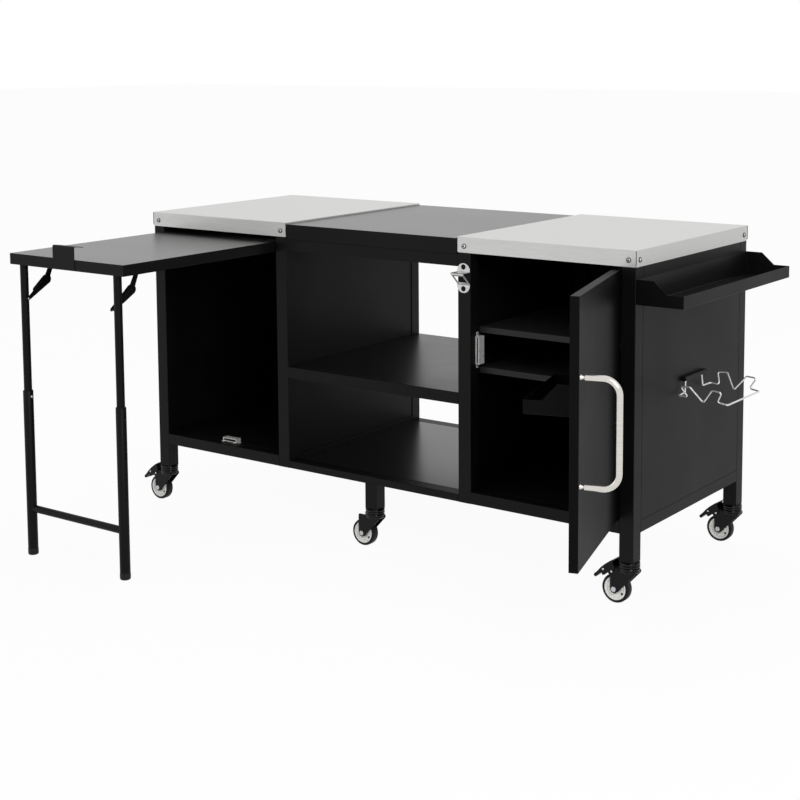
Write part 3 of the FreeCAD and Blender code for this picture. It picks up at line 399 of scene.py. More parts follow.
def swept(path, radius, sides=20, dome=0.25):
    """A round bar along a path; its ends are domed by that share of the radius."""
    directions = headings(path)
    side = directions[0].orthogonal().normalized()
    stations = []
    for point, direction in zip(path, directions):
        side = (side - direction * side.dot(direction)).normalized()
        stations.append((point, direction, side, radius))
    rise = dome * radius
    rim = radius * (1 - DOME_TAPER * dome)
    point, direction, side, _ = stations[0]
    stations.insert(0, (point - direction * rise, direction, side, rim))
    point, direction, side, _ = stations[-1]
    stations.append((point + direction * rise, direction, side, rim))
    shape = bmesh.new()
    rings = []
    for point, direction, side, reach in stations:
        up = direction.cross(side)
        rings.append([
            shape.verts.new(point + (side * math.cos(angle) + up * math.sin(angle)) * reach)
            for angle in circle_steps(sides)
        ])
    for low, high in zip(rings, rings[1:]):
        for step in range(sides):
            after = (step + 1) % sides
            shape.faces.new((low[step], low[after], high[after], high[step]))
    shape.faces.new(list(reversed(rings[0])))
    shape.faces.new(rings[-1])
    bmesh.ops.recalc_face_normals(shape, faces=shape.faces)
    return shape


def rounded_outline(points, radius):
    """A closed outline of (x, y) points with its corners rounded."""
    loop = [Vector((x, y, 0)) for x, y in points]
    outline = []
    for index, corner in enumerate(loop):
        ends = (loop[index - 1], corner, loop[(index + 1) % len(loop)])
        outline.extend(rounded_path(ends, radius, 4)[1:-1])
    return [(point.x, point.y) for point in outline]


def plate(outline, place, thickness):
    """A flat plate: an outline in the place's XY plane, made thick along its Z."""
    shape = bmesh.new()
    low = [shape.verts.new((x, y, 0)) for x, y in outline]
    high = [shape.verts.new((x, y, thickness)) for x, y in outline]
    shape.faces.new(list(reversed(low)))
    shape.faces.new(high)
    for index in range(len(outline)):
        after = (index + 1) % len(outline)
        shape.faces.new((low[index], low[after], high[after], high[index]))
    bmesh.ops.recalc_face_normals(shape, faces=shape.faces)
    bmesh.ops.transform(shape, matrix=place, verts=shape.verts)
    return shape


def rectangle(left, right, low, high):
    return [(left, low), (right, low), (right, high), (left, high)]


def block(low, high):
    """A plain block between two corners."""
    flat = rectangle(low[0], high[0], low[1], high[1])
    return plate(flat, Matrix.Translation((0, 0, low[2])), high[2] - low[2])


def upright_plane(origin, x_direction, y_direction):
    """A plane placement from its origin and the directions of its own X and Y."""
    z_direction = x_direction.cross(y_direction)
    turn = Matrix((x_direction, y_direction, z_direction)).transposed().to_4x4()
    return Matrix.Translation(origin) @ turn


def front_plane(origin):
    """An upright plane along the cart; what is made thick on it grows to the front."""
    return upright_plane(origin, X_AXIS, Z_AXIS)


def side_plane(x):
    """An upright plane across the cart; what is made thick on it grows to the right."""
    return upright_plane(X_AXIS * x, Y_AXIS, Z_AXIS)


def joined(shapes):
    """One bmesh out of several."""
    whole = shapes[0]
    for other in shapes[1:]:
        scratch = new_mesh("scratch", other)
        whole.from_mesh(scratch)
        bpy.data.meshes.remove(scratch)
    return whole


def solids_of(node):
    """The (lowest, highest) corners of each separate solid of a CAD node, left to right."""
    shape = bmesh.new()
    shape.from_mesh(frame["nodes"][node].data)
    bmesh.ops.remove_doubles(shape, verts=shape.verts, dist=WELD)
    waiting = set(shape.verts)
    boxes = []
    while waiting:
        island = [waiting.pop()]
        low = island[0].co.copy()
        high = low.copy()
        while island:
            vertex = island.pop()
            low = Vector(map(min, low, vertex.co))
            high = Vector(map(max, high, vertex.co))
            for edge in vertex.link_edges:
                other = edge.other_vert(vertex)
                if other in waiting:
                    waiting.remove(other)
                    island.append(other)
        boxes.append((low, high))
    shape.free()
    return sorted(boxes, key=lambda box: (round(box[0].x, 3), round(box[0].y, 3), box[0].z))


# Fasteners

# (share of the radius, share of the rise) from a screw head's crown to its sunk foot
HEAD_PROFILE = (
    (0, 1), (0.35, 0.96), (0.6, 0.86), (0.8, 0.66), (0.94, 0.36), (1, 0), (1, -0.3), (0, -0.3),
)


@functools.cache
def screw_head(radius, rise):
    """The mesh of a domed head with a sunk cross, about the origin and facing +Z."""
    profile = [(share * radius, height * rise) for share, height in HEAD_PROFILE]
    dome = turned(profile, Vector(), Z_AXIS, 32)
    arm = 0.2 * radius
    reach = 0.68 * radius
    cross = []
    corners = [(arm, arm), (reach, arm), (reach, -arm)]
    for _ in range(4):
        cross += corners
        corners = [(y, -x) for x, y in corners]
    sunk_cross = plate(cross, Matrix.Translation((0, 0, 0.15 * rise)), rise)
    head = new_object("head", new_mesh("head", dome))
    cutter = new_object("cross", new_mesh("cross", sunk_cross))
    carve = head.modifiers.new("cross", "BOOLEAN")
    carve.operation = "DIFFERENCE"
    carve.object = cutter
    carve.solver = "EXACT"
    graph = bpy.context.evaluated_depsgraph_get()
    carved = bpy.data.meshes.new_from_object(head.evaluated_get(graph))
    for item in (head, cutter):
        leftover = item.data
        bpy.data.objects.remove(item)
        bpy.data.meshes.remove(leftover)
    return carved


def cross_screw(name, place, facing, body, material=ZINC, radius=5.4 * MM, rise=2.6 * MM):
    """A pan-head screw in its place, on a thin dark ring of painted shade round its head."""
    shape = bmesh.new()
    shape.from_mesh(screw_head(radius, rise))
    bmesh.ops.transform(shape, matrix=aimed(place, facing), verts=shape.verts)
    finish_mesh(name, [shape], body, material, smooth_angle=40)
    # the black ring under the head paints the shadow gap round its rim
    top, foot = 0.4 * MM, -0.2 * MM
    profile = ((0, top), (radius + 1.1 * MM, top), (radius + 1.4 * MM, foot), (0, foot))
    shade_ring = turned(profile, place, facing, 32)
    finish_mesh(name + ".seat", [shade_ring], body, BLACK_PLASTIC, smooth_angle=40)


def rivet(name, place, facing, body, radius=3 * MM, rise=1.4 * MM, material=ZINC):
    """A round-headed rivet."""
    foot = -0.3 * rise
    profile = [(radius * math.sin(turn), rise * math.cos(turn)) for turn in quarter_steps()]
    profile += [(radius, foot), (0, foot)]
    shape = turned(profile, place, facing, 24)
    finish_mesh(name, [shape], body, material, smooth_angle=50)


# The frame, covers and sheet metal

COVER_SHEET = 1.2 * MM
FOLD_RADIUS = 1.6 * MM
CORNER_GAP = 0.9 * MM
SKIRT_CORNER = 4.5 * MM


def fold_profile():
    """(inward, downward) points round a folded sheet edge, from its top face to its skirt."""
    outer, inner = (
        [
            (FOLD_RADIUS - radius * math.sin(turn), FOLD_RADIUS - radius * math.cos(turn))
            for turn in quarter_steps()
        ]
        for radius in (FOLD_RADIUS, FOLD_RADIUS - COVER_SHEET)
    )
    return outer + list(reversed(inner))


def folded_cover(node):
    """A steel sheet folded down on four sides, with open butt joints at its corners."""
    low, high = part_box(node)
    depth = high.z - low.z
    flat = rectangle(
        low.x + FOLD_RADIUS, high.x - FOLD_RADIUS, low.y + FOLD_RADIUS, high.y - FOLD_RADIUS
    )
    shapes = [plate(flat, Matrix.Translation((0, 0, high.z - COVER_SHEET)), COVER_SHEET)]
    profile = fold_profile()
    corners = rectangle(low.x, high.x, low.y, high.y)
    runs = (X_AXIS, Y_AXIS, -X_AXIS, -Y_AXIS)
    sides = [(Vector((*corner, high.z)), run) for corner, run in zip(corners, runs)]
    for corner, run in sides:
        inward = Z_AXIS.cross(run)
        start = corner + run * CORNER_GAP
        span = abs(run.dot(high) - run.dot(low)) - 2 * CORNER_GAP
        shapes.append(plate(profile, upright_plane(start + run * span, inward, -Z_AXIS), span))
        skirt = [
            Vector((0, FOLD_RADIUS, 0)), Vector((0, depth, 0)),
            Vector((span, depth, 0)), Vector((span, FOLD_RADIUS, 0)),
        ]
        outline = [(point.x, point.y) for point in rounded_path(skirt, SKIRT_CORNER, 6)]
        inner_face = upright_plane(start + inward * COVER_SHEET, run, -Z_AXIS)
        shapes.append(plate(outline, inner_face, COVER_SHEET))
    piece = finish_mesh(node + ".form", shapes, "cart", STEEL_TOP, smooth_angle=25)
    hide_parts(node)
    add_seam_shades(node, sides, depth)


def add_seam_shades(node, sides, depth):
    """Dark strips just inside a cover's open corners, painted shade seen through the gaps."""
    half = (CORNER_GAP + 0.3 * MM) / 2
    inset = half + 0.35 * MM
    square = rectangle(-half, half, -half, half)
    seam_shades = []
    for corner, run in sides:
        foot = corner + (run + Z_AXIS.cross(run)) * inset - Z_AXIS * (depth - SKIRT_CORNER)
        height = depth - SKIRT_CORNER - FOLD_RADIUS
        seam_shades.append(plate(square, Matrix.Translation(foot), height))
    # the black strips paint the shade inside the open corners
    finish_mesh(node + ".seams", seam_shades, "cart", INNER_COAT)


def make_sheet_metal():
    frame_nodes = [f"front_post_{number}" for number in (1, 2, 3, 4)]
    frame_nodes += ["rear_posts", "middle_legs", "bottom_rails_front", "top_rails_front"]
    frame_nodes += ["rear_rails", "cross_rails", "side_panels", "divider_panels", "back_panels"]
    for node in frame_nodes:
        refined(node)
    for node in ("cover_middle", "flap_panel", "middle_floor"):
        refined(node, top=TOP_LIT_COAT)
    refined("middle_shelf", top=SHELF_COAT)
    refined("end_floors", INNER_COAT)
    refined("right_shelves", EDGE_COAT)
    for node in ("cover_left", "cover_right"):
        folded_cover(node)
    for node in ("side_tray", "flap_pull", "bag_bracket", "brace_brackets"):
        refined(node)
    refined("door_tray", DOOR_SHADED_COAT)
    for node in ("flap_pins", "door_pivots"):
        carried = frame["nodes"][node]
        carried.data.materials.clear()
        carried.data.materials.append(BLACK_COAT)


def make_skirt_screws():
    """Cross-headed screws near the ends of the steel covers' front and side skirts."""
    inset = 22 * MM
    drop = 25 * MM
    for side in ("left", "right"):
        low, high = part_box("cover_" + side)
        height = high.z - drop
        for number, x in enumerate((low.x + inset, high.x - inset)):
            place = Vector((x, low.y, height))
            cross_screw(f"screw_{side}_front_{number}", place, -Y_AXIS, "cart")
        outer, facing = (high.x, X_AXIS) if side == "right" else (low.x, -X_AXIS)
        for number, y in enumerate((low.y + inset, high.y - inset)):
            place = Vector((outer, y, height))
            cross_screw(f"screw_{side}_side_{number}", place, facing, "cart")


# Left door: folding legs and braces

LOWER_TUBE_RADIUS = 14 * MM
UPPER_TUBE_RADIUS = 11 * MM
LEG_PIVOT = Vector(JOINTS["leg_fold"]["pos_m"])
BRACE_FOOT = Vector(JOINTS["brace_lower_fold"]["pos_m"])
FOOT_CAPS = solids_of("foot_caps")
LEG_LINES = [(low.x + high.x) / 2 for low, high in FOOT_CAPS]


def make_upper_legs():
    """Upper tubes with a chamfered top, the rod between them, and the brace pins."""
    low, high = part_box("leg_frame_upper")
    radius = UPPER_TUBE_RADIUS
    above_pivot = 7 * MM
    length = LEG_PIVOT.z + above_pivot - low.z
    chamfer = 2 * MM
    profile = (
        (radius, 0), (radius, length - chamfer), (radius - chamfer, length), (0, length), (0, 0),
    )
    shapes = []
    for x in LEG_LINES:
        shapes.append(turned(profile, Vector((x, LEG_PIVOT.y, low.z)), Z_AXIS, 40))
    play = 0.1 * MM
    for ends, rod_radius in ((LEG_LINES, 6 * MM), ((low.x + play, high.x - play), 3.9 * MM)):
        rod = [Vector((x, LEG_PIVOT.y, LEG_PIVOT.z)) for x in ends]
        shapes.append(swept(rod, rod_radius))
    pin_start = 5 * MM
    pin_length = 15.2 * MM
    for x, way in zip(LEG_LINES, (1, -1)):
        start = Vector((x + way * pin_start, BRACE_FOOT.y, BRACE_FOOT.z))
        shapes.append(swept([start, start + X_AXIS * (way * pin_length)], 2.9 * MM, 16))
    piece = finish_mesh("legs_upper", shapes, "leg_upper", BLACK_COAT)
    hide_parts("leg_frame_upper")


def make_lower_legs():
    """Lower tubes whose rolled top closes on the upper ones, and the cross tube."""
    low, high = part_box("leg_frame_lower")
    outer = LOWER_TUBE_RADIUS
    bore = UPPER_TUBE_RADIUS + 0.15 * MM
    mouth = UPPER_TUBE_RADIUS + 0.6 * MM
    rise = high.z - low.z
    profile = (
        (outer, 0), (outer, rise - 1.2 * MM), (outer - 0.8 * MM, rise),
        (mouth, rise), (bore, rise - 0.6 * MM), (bore, 0),
    )
    shapes = []
    for x in LEG_LINES:
        foot = Vector((x, LEG_PIVOT.y, low.z))
        shapes.append(turned(profile, foot, Z_AXIS, 40, closed=True))
    inset = 12 * MM
    height = 131 * MM
    ends = (LEG_LINES[0] + inset, LEG_LINES[1] - inset)
    shapes.append(swept([Vector((x, LEG_PIVOT.y, height)) for x in ends], 10 * MM, 32))
    piece = finish_mesh("legs_lower", shapes, "leg_lower", BLACK_COAT)
    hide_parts("leg_frame_lower")


def make_foot_caps():
    """Rounded plastic caps that hold the lower tubes' ends."""
    shapes = []
    bore = LOWER_TUBE_RADIUS - 0.2 * MM
    for low, high in FOOT_CAPS:
        radius = (high.x - low.x) / 2
        profile = (
            (0, 0), (radius - 2 * MM, 0), (radius - 0.4 * MM, 1.6 * MM), (radius, 4 * MM),
            (radius, high.z - 1.2 * MM), (radius - 0.5 * MM, high.z), (bore, high.z),
            (bore, 3 * MM), (0, 3 * MM),
        )
        centre = Vector(((low.x + high.x) / 2, LEG_PIVOT.y, 0))
        shapes.append(turned(profile, centre, Z_AXIS, 40))
    piece = finish_mesh("leg_shoes", shapes, "leg_lower", BLACK_PLASTIC, 50)
    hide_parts("foot_caps")


def make_snap_buttons():
    """Domed spring buttons on the inner sides of the lower tubes."""
    shapes = []
    for low, high in solids_of("snap_buttons"):
        way = 1 if low.x < sum(LEG_LINES) / 2 else -1
        foot = Vector((low.x if way > 0 else high.x, LEG_PIVOT.y, (low.z + high.z) / 2))
        radius = (high.z - low.z) / 2
        rise = high.x - low.x
        profile = ((radius, 0), (radius, 0.5 * rise), (0.75 * radius, 0.85 * rise), (0, rise))
        shapes.append(turned(profile, foot, X_AXIS * way, 24))
    piece = finish_mesh("leg_buttons", shapes, "leg_lower", ZINC, 50)
    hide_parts("snap_buttons")


def link_outline(start, end, start_radius, end_radius):
    """The outline round two circles, as (y, z) points."""
    run = end - start
    heading = math.atan2(run.z, run.y)
    lean = math.acos((start_radius - end_radius) / run.length)
    steps = 10
    outline = []
    for centre, radius, first, sweep in (
        (start, start_radius, heading + lean, 2 * math.pi - 2 * lean),
        (end, end_radius, heading - lean, 2 * lean),
    ):
        for step in range(steps + 1):
            angle = first + sweep * step / steps
            point = (centre.y + radius * math.cos(angle), centre.z + radius * math.sin(angle))
            outline.append(point)
    return outline


def make_braces():
    """Jack-knife braces: a tapered link with a doubler on the leg, a flat link on the flap."""
    uppers = []
    lowers = []
    link_radius = 6 * MM
    knee_radius = 9.4 * MM
    half_link = 2.8 * MM
    cheek = 1.5 * MM
    clearance = 3.3 * MM
    boxes = zip(solids_of("brace_upper_links"), solids_of("brace_lower_links"), (1, -1))
    for index, ((low, high), (_, leg_link_high), inner) in enumerate(boxes):
        x = (low.x + high.x) / 2
        knee = Vector((x, leg_link_high.y - knee_radius, leg_link_high.z - knee_radius))
        flap_end = Vector((x, high.y - link_radius, high.z - link_radius))
        foot = Vector((x, BRACE_FOOT.y, BRACE_FOOT.z))
        flat_link = link_outline(knee, flap_end, 8 * MM, 4.8 * MM)
        uppers.append(plate(flat_link, side_plane(x - half_link), 2 * half_link))
        whole = link_outline(foot, knee, 5 * MM, 12.5 * MM)
        short = link_outline(foot.lerp(knee, 0.45), knee, 8.4 * MM, 12.5 * MM)
        for way, outline in ((inner, whole), (-inner, short)):
            face = x + clearance if way > 0 else x - clearance - cheek
            lowers.append(plate(outline, side_plane(face), cheek))
        pin_end = X_AXIS * (clearance + cheek)
        lowers.append(swept([knee - pin_end, knee + pin_end], 3 * MM))
        facing = X_AXIS * inner
        rivet(f"brace_knee_{index}", knee + pin_end * inner, facing, "brace_lower",
              radius=4 * MM, rise=0.9 * MM, material=BLACK_COAT)
        rivet(f"brace_foot_{index}", foot + pin_end * inner, facing, "leg_upper",
              radius=3.4 * MM, rise=1.1 * MM)
    piece = finish_mesh(
        "brace_flat_links", uppers, "brace_upper", BLACK_COAT, edge=0.6 * MM
    )
    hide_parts("brace_upper_links")
    piece = finish_mesh(
        "brace_channels", lowers, "brace_lower", BLACK_COAT, edge=0.4 * MM
    )
    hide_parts("brace_lower_links")


# Right door

DOOR_WIDTH = 441.3 * MM
DOOR_PIVOT_INSET = 3.7 * MM
DOOR_OPENING = math.radians(106.7)
HANDLE_INSET = 14 * MM


def make_handle():
    """The bent bar with its square-cut ends, and the two waisted necks that carry it."""
    low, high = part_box("door_handle")
    along = Vector((-math.cos(DOOR_OPENING), -math.sin(DOOR_OPENING), 0))
    outward = Vector((math.sin(DOOR_OPENING), -math.cos(DOOR_OPENING), 0))
    radius = 8 * MM
    hinge = Vector(JOINTS["door_hinge"]["pos_m"])
    foot = hinge + along * (DOOR_WIDTH - DOOR_PIVOT_INSET - HANDLE_INSET)
    foot.z = 0
    face = 2.9 * MM
    neck = 11 * MM
    reach = 88 * MM
    bottom, top = low.z + radius, high.z - radius
    corners = [
        foot + outward * (face + distance) + Z_AXIS * level
        for distance, level in ((neck, bottom), (reach, bottom), (reach, top), (neck, top))
    ]
    shapes = [swept(rounded_path(corners, 40 * MM, 14), radius, 32, dome=0.06)]
    waist = 3.2 * MM
    profile = (
        (6.2 * MM, 0), (6 * MM, 1.5 * MM), (4 * MM, 4.5 * MM),
        (waist, neck - 2 * MM), (waist, neck + MM), (0, neck + MM),
    )
    for level in (bottom, top):
        base = foot + outward * face + Z_AXIS * level
        shapes.append(turned(profile, base, outward, 32))
    piece = finish_mesh("handle_bar", shapes, "door", STEEL_BAR)
    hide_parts("door_handle")


def make_door():
    # the door panel takes the darker copy of the black coat, painted shade
    refined("door_panel", DOOR_SHADED_COAT, fold=1.6 * MM)
    make_handle()


# Bag holder and opener


def make_bag_wire():
    """The bent wire: two mirrored rows of hooks that rise and dip, joined by an outer bar."""
    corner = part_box("cover_left")[0]
    middle = corner.y + 308 * MM
    # (x from the left end of the covers, y from the middle of the wire, z) in millimetres
    half = (
        (1657.5, 47, 534), (1658.5, 52, 503.5), (1661, 94, 503.5), (1687, 93, 502.5),
        (1674.5, 109, 530.7), (1701, 111, 533), (1729, 91, 492.5), (1759, 105.5, 530),
        (1786.5, 107, 528), (1771, 98, 500.5), (1799, 96.5, 496.5),
    )
    route = [Vector((corner.x + x * MM, middle + y * MM, z * MM)) for x, y, z in half]
    route += [Vector((point.x, 2 * middle - point.y, point.z)) for point in reversed(route)]
    shape = swept(rounded_path(route, 4.5 * MM, 6), 2.25 * MM, 16)
    piece = finish_mesh("bag_hooks", [shape], "cart", STEEL_WIRE)
    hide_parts("bag_wire")


def make_opener():
    """A bent opener: two round lugs on the post, a shelf with a lip, and an open strap back."""
    low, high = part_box("bottle_opener")
    half = 20 * MM
    sheet = 2 * MM
    wall = high.y
    front = low.y
    centre = (low.x + high.x) / 2 - MM
    left, right = centre - half, centre + half
    lug_top = high.z - 4 * MM
    lug_base = low.z + 8 * MM
    shelf = lug_top - 22.5 * MM
    lip_base = shelf - 5.5 * MM
    strap_base = lug_base + 22 * MM

    shapes = []
    steps = 20
    for lug_z, flat_z, way in ((lug_top - half, shelf, 1), (lug_base + half, strap_base, -1)):
        outline = []
        for step in range(steps + 1):
            angle = math.pi * step / steps
            rise = way * (half * math.sin(angle))
            outline.append((centre + half * math.cos(angle), lug_z + rise))
        outline += [(left, flat_z), (right, flat_z)]
        shapes.append(plate(outline, front_plane(Y_AXIS * wall), sheet))
    flat = rectangle(left, right, front, wall)
    shapes.append(plate(flat, Matrix.Translation((0, 0, shelf - sheet)), sheet))
    lip = rectangle(left, right, lip_base, shelf)
    shapes.append(plate(lip, front_plane(Y_AXIS * (front + sheet)), sheet))

    strap_top = Vector((centre, front + sheet, lip_base))
    down = Vector((centre, wall, strap_base)) - strap_top
    length = down.length
    down.normalize()
    border = 5 * MM
    for bar in (
        rectangle(-half, -half + border, 0, length),
        rectangle(half - border, half, 0, length),
        rectangle(-half + border, half - border, 0, 1.2 * border),
        rectangle(-half + border, half - border, length - 1.6 * border, length),
    ):
        shapes.append(plate(bar, upright_plane(strap_top, X_AXIS, down), sheet))
    piece = finish_mesh("opener", shapes, "cart", STEEL_PART, edge=0.6 * MM)
    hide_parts("bottle_opener")
    for number, z in enumerate((lug_base + 11.3 * MM, lug_top - 9.8 * MM)):
        place = Vector((centre, wall - sheet, z))
        cross_screw(f"opener_screw_{number}", place, -Y_AXIS, "cart", BLACK_COAT, 6 * MM, 2.4 * MM)


# Magnetic catches: plated pole plates about a dark core, on a base with drilled ears

CATCH_RIM = 3 * MM
CATCH_OVERLAP = MM
EAR_CORNER = 3 * MM


def catch_screw(name, place, facing, material):
    rivet(name, place, facing, "cart", radius=2.4 * MM, rise=1.2 * MM, material=material)


def floor_catch(low, high):
    """The catch that lies on the left bay's floor: its frame and its core."""
    rim = CATCH_RIM
    base = 1.2 * MM
    foot_width = 8 * MM
    frames = [
        block((low.x, low.y, high.z - rim), high),
        block(low, (high.x, high.y, low.z + rim)),
        block((low.x, low.y, low.z + rim), (low.x + rim, high.y, high.z - rim)),
        block((high.x - rim, low.y, low.z + rim), (high.x, high.y, high.z - rim)),
    ]
    core = block(
        (low.x + rim, low.y + 2 * MM, low.z + rim), (high.x - rim, high.y - MM, high.z - rim)
    )
    for x in (low.x, high.x - foot_width):
        frames.append(block(
            (x, low.y - 6 * MM, low.z), (x + foot_width, low.y + CATCH_OVERLAP, low.z + base)
        ))
    ear_y = (low.y + high.y) / 2
    half_ear = 5 * MM
    for x, way, side in ((low.x, -1, "left"), (high.x, 1, "right")):
        near, far = x - way * CATCH_OVERLAP, x + way * 9 * MM
        ear = rounded_outline(rectangle(near, far, ear_y - half_ear, ear_y + half_ear), EAR_CORNER)
        frames.append(plate(ear, Matrix.Translation((0, 0, low.z)), base))
        place = Vector((x + way * 4.5 * MM, ear_y, low.z + base))
        catch_screw("catch_floor_screw_" + side, place, Z_AXIS, ZINC)
    return frames, core


def post_catch(low, high):
    """The upright catch on the right divider: its frame and its core."""
    rim = CATCH_RIM
    pole = 3.6 * MM
    base = 1.4 * MM
    ear_start, ear_end = low.y + 4 * MM, low.y + 14 * MM
    frames = [
        block(low, (low.x + pole, high.y, high.z)),
        block((high.x - pole, low.y, low.z), high),
    ]
    for foot, head in ((low.z, low.z + rim), (high.z - rim, high.z)):
        frames.append(block((low.x + pole, low.y + MM, foot), (high.x - pole, high.y, head)))
    core = block(
        (low.x + pole, low.y + 3 * MM, low.z + rim), (high.x - pole, high.y - MM, high.z - rim)
    )
    for z, way, end in ((low.z, -1, "low"), (high.z, 1, "high")):
        near, far = z - way * CATCH_OVERLAP, z + way * 11 * MM
        ear = rounded_outline(rectangle(ear_start, ear_end, near, far), EAR_CORNER)
        frames.append(plate(ear, side_plane(low.x), base))
        place = Vector((low.x + base, (ear_start + ear_end) / 2, z + way * 6 * MM))
        catch_screw("catch_post_screw_" + end, place, X_AXIS, BLACK_COAT)
    return frames, core


def make_catches():
    floor_box, post_box = solids_of("magnetic_catches")
    floor_frames, floor_core = floor_catch(*floor_box)
    post_frames, post_core = post_catch(*post_box)
    frames = floor_frames + post_frames
    piece = finish_mesh("catch_frames", frames, "cart", NICKEL, edge=0.5 * MM)
    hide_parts("magnetic_catches")
    cores = [floor_core, post_core]
    finish_mesh("catch_cores", cores, "cart", BLACK_PLASTIC)


# Casters; the points of their outlines and profiles are in millimetres

CASTERS = [name.removeprefix("swivel_") for name in JOINTS if name.startswith("swivel_")]


def make_race(name, origin):
    """The fixed top: a square plate under the post, and the ball race with its rolled edges."""
    half = 20 * MM
    corners = rounded_outline(rectangle(-half, half, -half, half), 3 * MM)
    top = plate(corners, Matrix.Translation(origin + Z_AXIS * (110 * MM)), 2.8 * MM)
    profile = (
        (0, 98.2), (23, 98.2), (25.4, 98.6), (26.6, 99.6), (27, 101), (27, 102.4),
        (26.4, 103.8), (25, 104.6), (25, 105.2), (26, 105.8), (26.8, 107), (27, 108.4),
        (26.6, 110), (25.6, 111.2), (23, 112), (0, 112),
    )
    race = turned(in_metres(profile), origin, Z_AXIS, 56)
    return finish_mesh(f"caster_{name}_race", [top, race], "cart", RACE_COAT)


def make_crown(name, origin):
    """The pressed cap that turns under the race."""
    profile = (
        (0, 97.6), (24, 97.6), (26, 97), (26.8, 95.8), (27, 94.2), (26.6, 92.8), (25.4, 91.8),
        (25.4, 91.2), (26.4, 90.2), (26.6, 88.6), (26, 87), (24.6, 85.6), (22, 84.5), (0, 84.5),
    )
    crown = turned(in_metres(profile), origin, Z_AXIS, 56)
    finish_mesh(f"caster_{name}_crown", [crown], "caster_" + name, RACE_COAT)


def make_fork(name, origin, braked):
    """Two tapering plates under the crown; a braked caster's reach back to its pedal."""
    ear = -56 if braked else -47
    outline = (
        (ear, 92), (ear, 82), (-47, 68), (-46.5, 37.5), (-42, 27.5), (-30, 27), (-23, 33),
        (10, 69), (24, 84), (25, 92),
    )
    corners = rounded_outline(in_metres(outline), 6 * MM)
    sheet = 2.5 * MM
    shapes = [
        plate(corners, front_plane(origin + Y_AXIS * (face + sheet)), sheet)
        for face in (-16.5 * MM, 14 * MM)
    ]
    piece = finish_mesh(
        f"caster_{name}_fork", shapes, "caster_" + name, CASTER_COAT,
        edge=0.5 * MM,
    )
    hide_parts("fork_" + name)


def make_axle(name, axle):
    """The axle bolt, with a nut and a chamfered end on each side of the fork."""
    nut_radius = 7.2 * MM
    hexagon = [
        (nut_radius * math.cos(angle), nut_radius * math.sin(angle)) for angle in circle_steps(6)
    ]
    nut_height = 3.6 * MM
    fork_face = 16.5 * MM
    sunk = 1.3 * MM
    bolt_end = in_metres(((3.2, 0), (3.2, 4.6), (2.6, 5.2), (0, 5.2)))
    shapes = []
    for way, directions in ((-1, (X_AXIS, Z_AXIS)), (1, (Z_AXIS, X_AXIS))):
        start = axle + Y_AXIS * (way * fork_face)
        shapes.append(plate(hexagon, upright_plane(start, *directions), nut_height))
        shapes.append(turned(bolt_end, start - Y_AXIS * (way * sunk), Y_AXIS * way, 20))
    half_bolt = Y_AXIS * (15 * MM)
    shapes.append(swept([axle - half_bolt, axle + half_bolt], 3.9 * MM))
    body = "caster_" + name
    finish_mesh(f"caster_{name}_axle", shapes, body, ZINC, edge=0.4 * MM)


def make_wheel(name, axle):
    """A light core with a recessed web and hub, and a black tread moulded round it."""
    body = "wheel_" + name
    core = (
        (11.5, 7.4), (12.6, 7), (14.4, 7), (15, 8.6), (16.2, 9.4), (20, 9.6), (22.6, 9.4),
        (23.2, 8.2), (24.2, 8.2), (24.8, 10), (25.6, 11.2), (27, 11.8), (29.2, 11.8),
        (30, 11.2), (30, 9),
    )
    shape = turned(ring_profile(core), axle, Y_AXIS, 72, closed=True)
    piece = finish_mesh(f"caster_{name}_core", [shape], body, WHEEL_PLASTIC)
    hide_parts("wheel_" + name)
    tread = (
        (29.9, 9), (30.1, 11.3), (31, 11.9), (33.4, 12), (35.4, 11.5), (36.8, 10), (37.4, 8),
        (37.5, 5.2), (37.1, 4.9), (37.1, 4.3), (37.5, 4),
    )
    shape = turned(ring_profile(tread), axle, Y_AXIS, 72, closed=True)
    finish_mesh(f"caster_{name}_tyre", [shape], body, TYRE_RUBBER, 50)
    hub = ((4.1, 12), (8.6, 12), (9.4, 11.4), (11.6, 9))
    shape = turned(ring_profile(hub), axle, Y_AXIS, 48, closed=True)
    finish_mesh(f"caster_{name}_hub", [shape], body, BLACK_PLASTIC, 40)
    angle = math.radians(-31)
    centre = axle + (X_AXIS * math.cos(angle) + Z_AXIS * math.sin(angle)) * (22 * MM)
    # black discs on both faces of the web paint the shade of a small hole
    hole_shade = in_metres(((0, 0.1), (2, 0.1), (2.6, 0.5), (3, 0.1), (3, -0.5), (0, -0.5)))
    hole_shades = [
        turned(hole_shade, centre + Y_AXIS * (way * 9.7 * MM), Y_AXIS * way, 20)
        for way in (-1, 1)
    ]
    finish_mesh(f"caster_{name}_plug", hole_shades, body, TYRE_RUBBER, 50)


def tread_outline():
    """The brake pedal's bowed tread seen from the side, thickest at its rounded tip."""
    spine = ((-87.5, 65), (-81, 73), (-72, 86), (-60, 97), (-45, 108), (-31, 115.5))
    half_thickness = 1.3
    swelling = 3.3
    swollen_length = 30
    middle = rounded_path([Vector((x, z, 0)) for x, z in spine], 14, 5)
    directions = headings(middle)
    tip = middle[0]
    upper = []
    lower = []
    for point, direction in zip(middle, directions):
        nearness = max(0, 1 - (point - tip).length / swollen_length)
        half = half_thickness + swelling * nearness ** 1.5
        across = Vector((-direction.y, direction.x, 0)) * half
        upper.append(point + across)
        lower.append(point - across)
    back = directions[0]
    side = Vector((-back.y, back.x, 0))
    steps = 8
    rounded_tip = []
    for step in range(1, steps):
        angle = math.pi * step / steps
        outward = side * math.cos(angle) - back * math.sin(angle)
        rounded_tip.append(tip + outward * (half_thickness + swelling))
    return in_metres((point.x, point.y) for point in [*rounded_tip, *lower, *reversed(upper)])


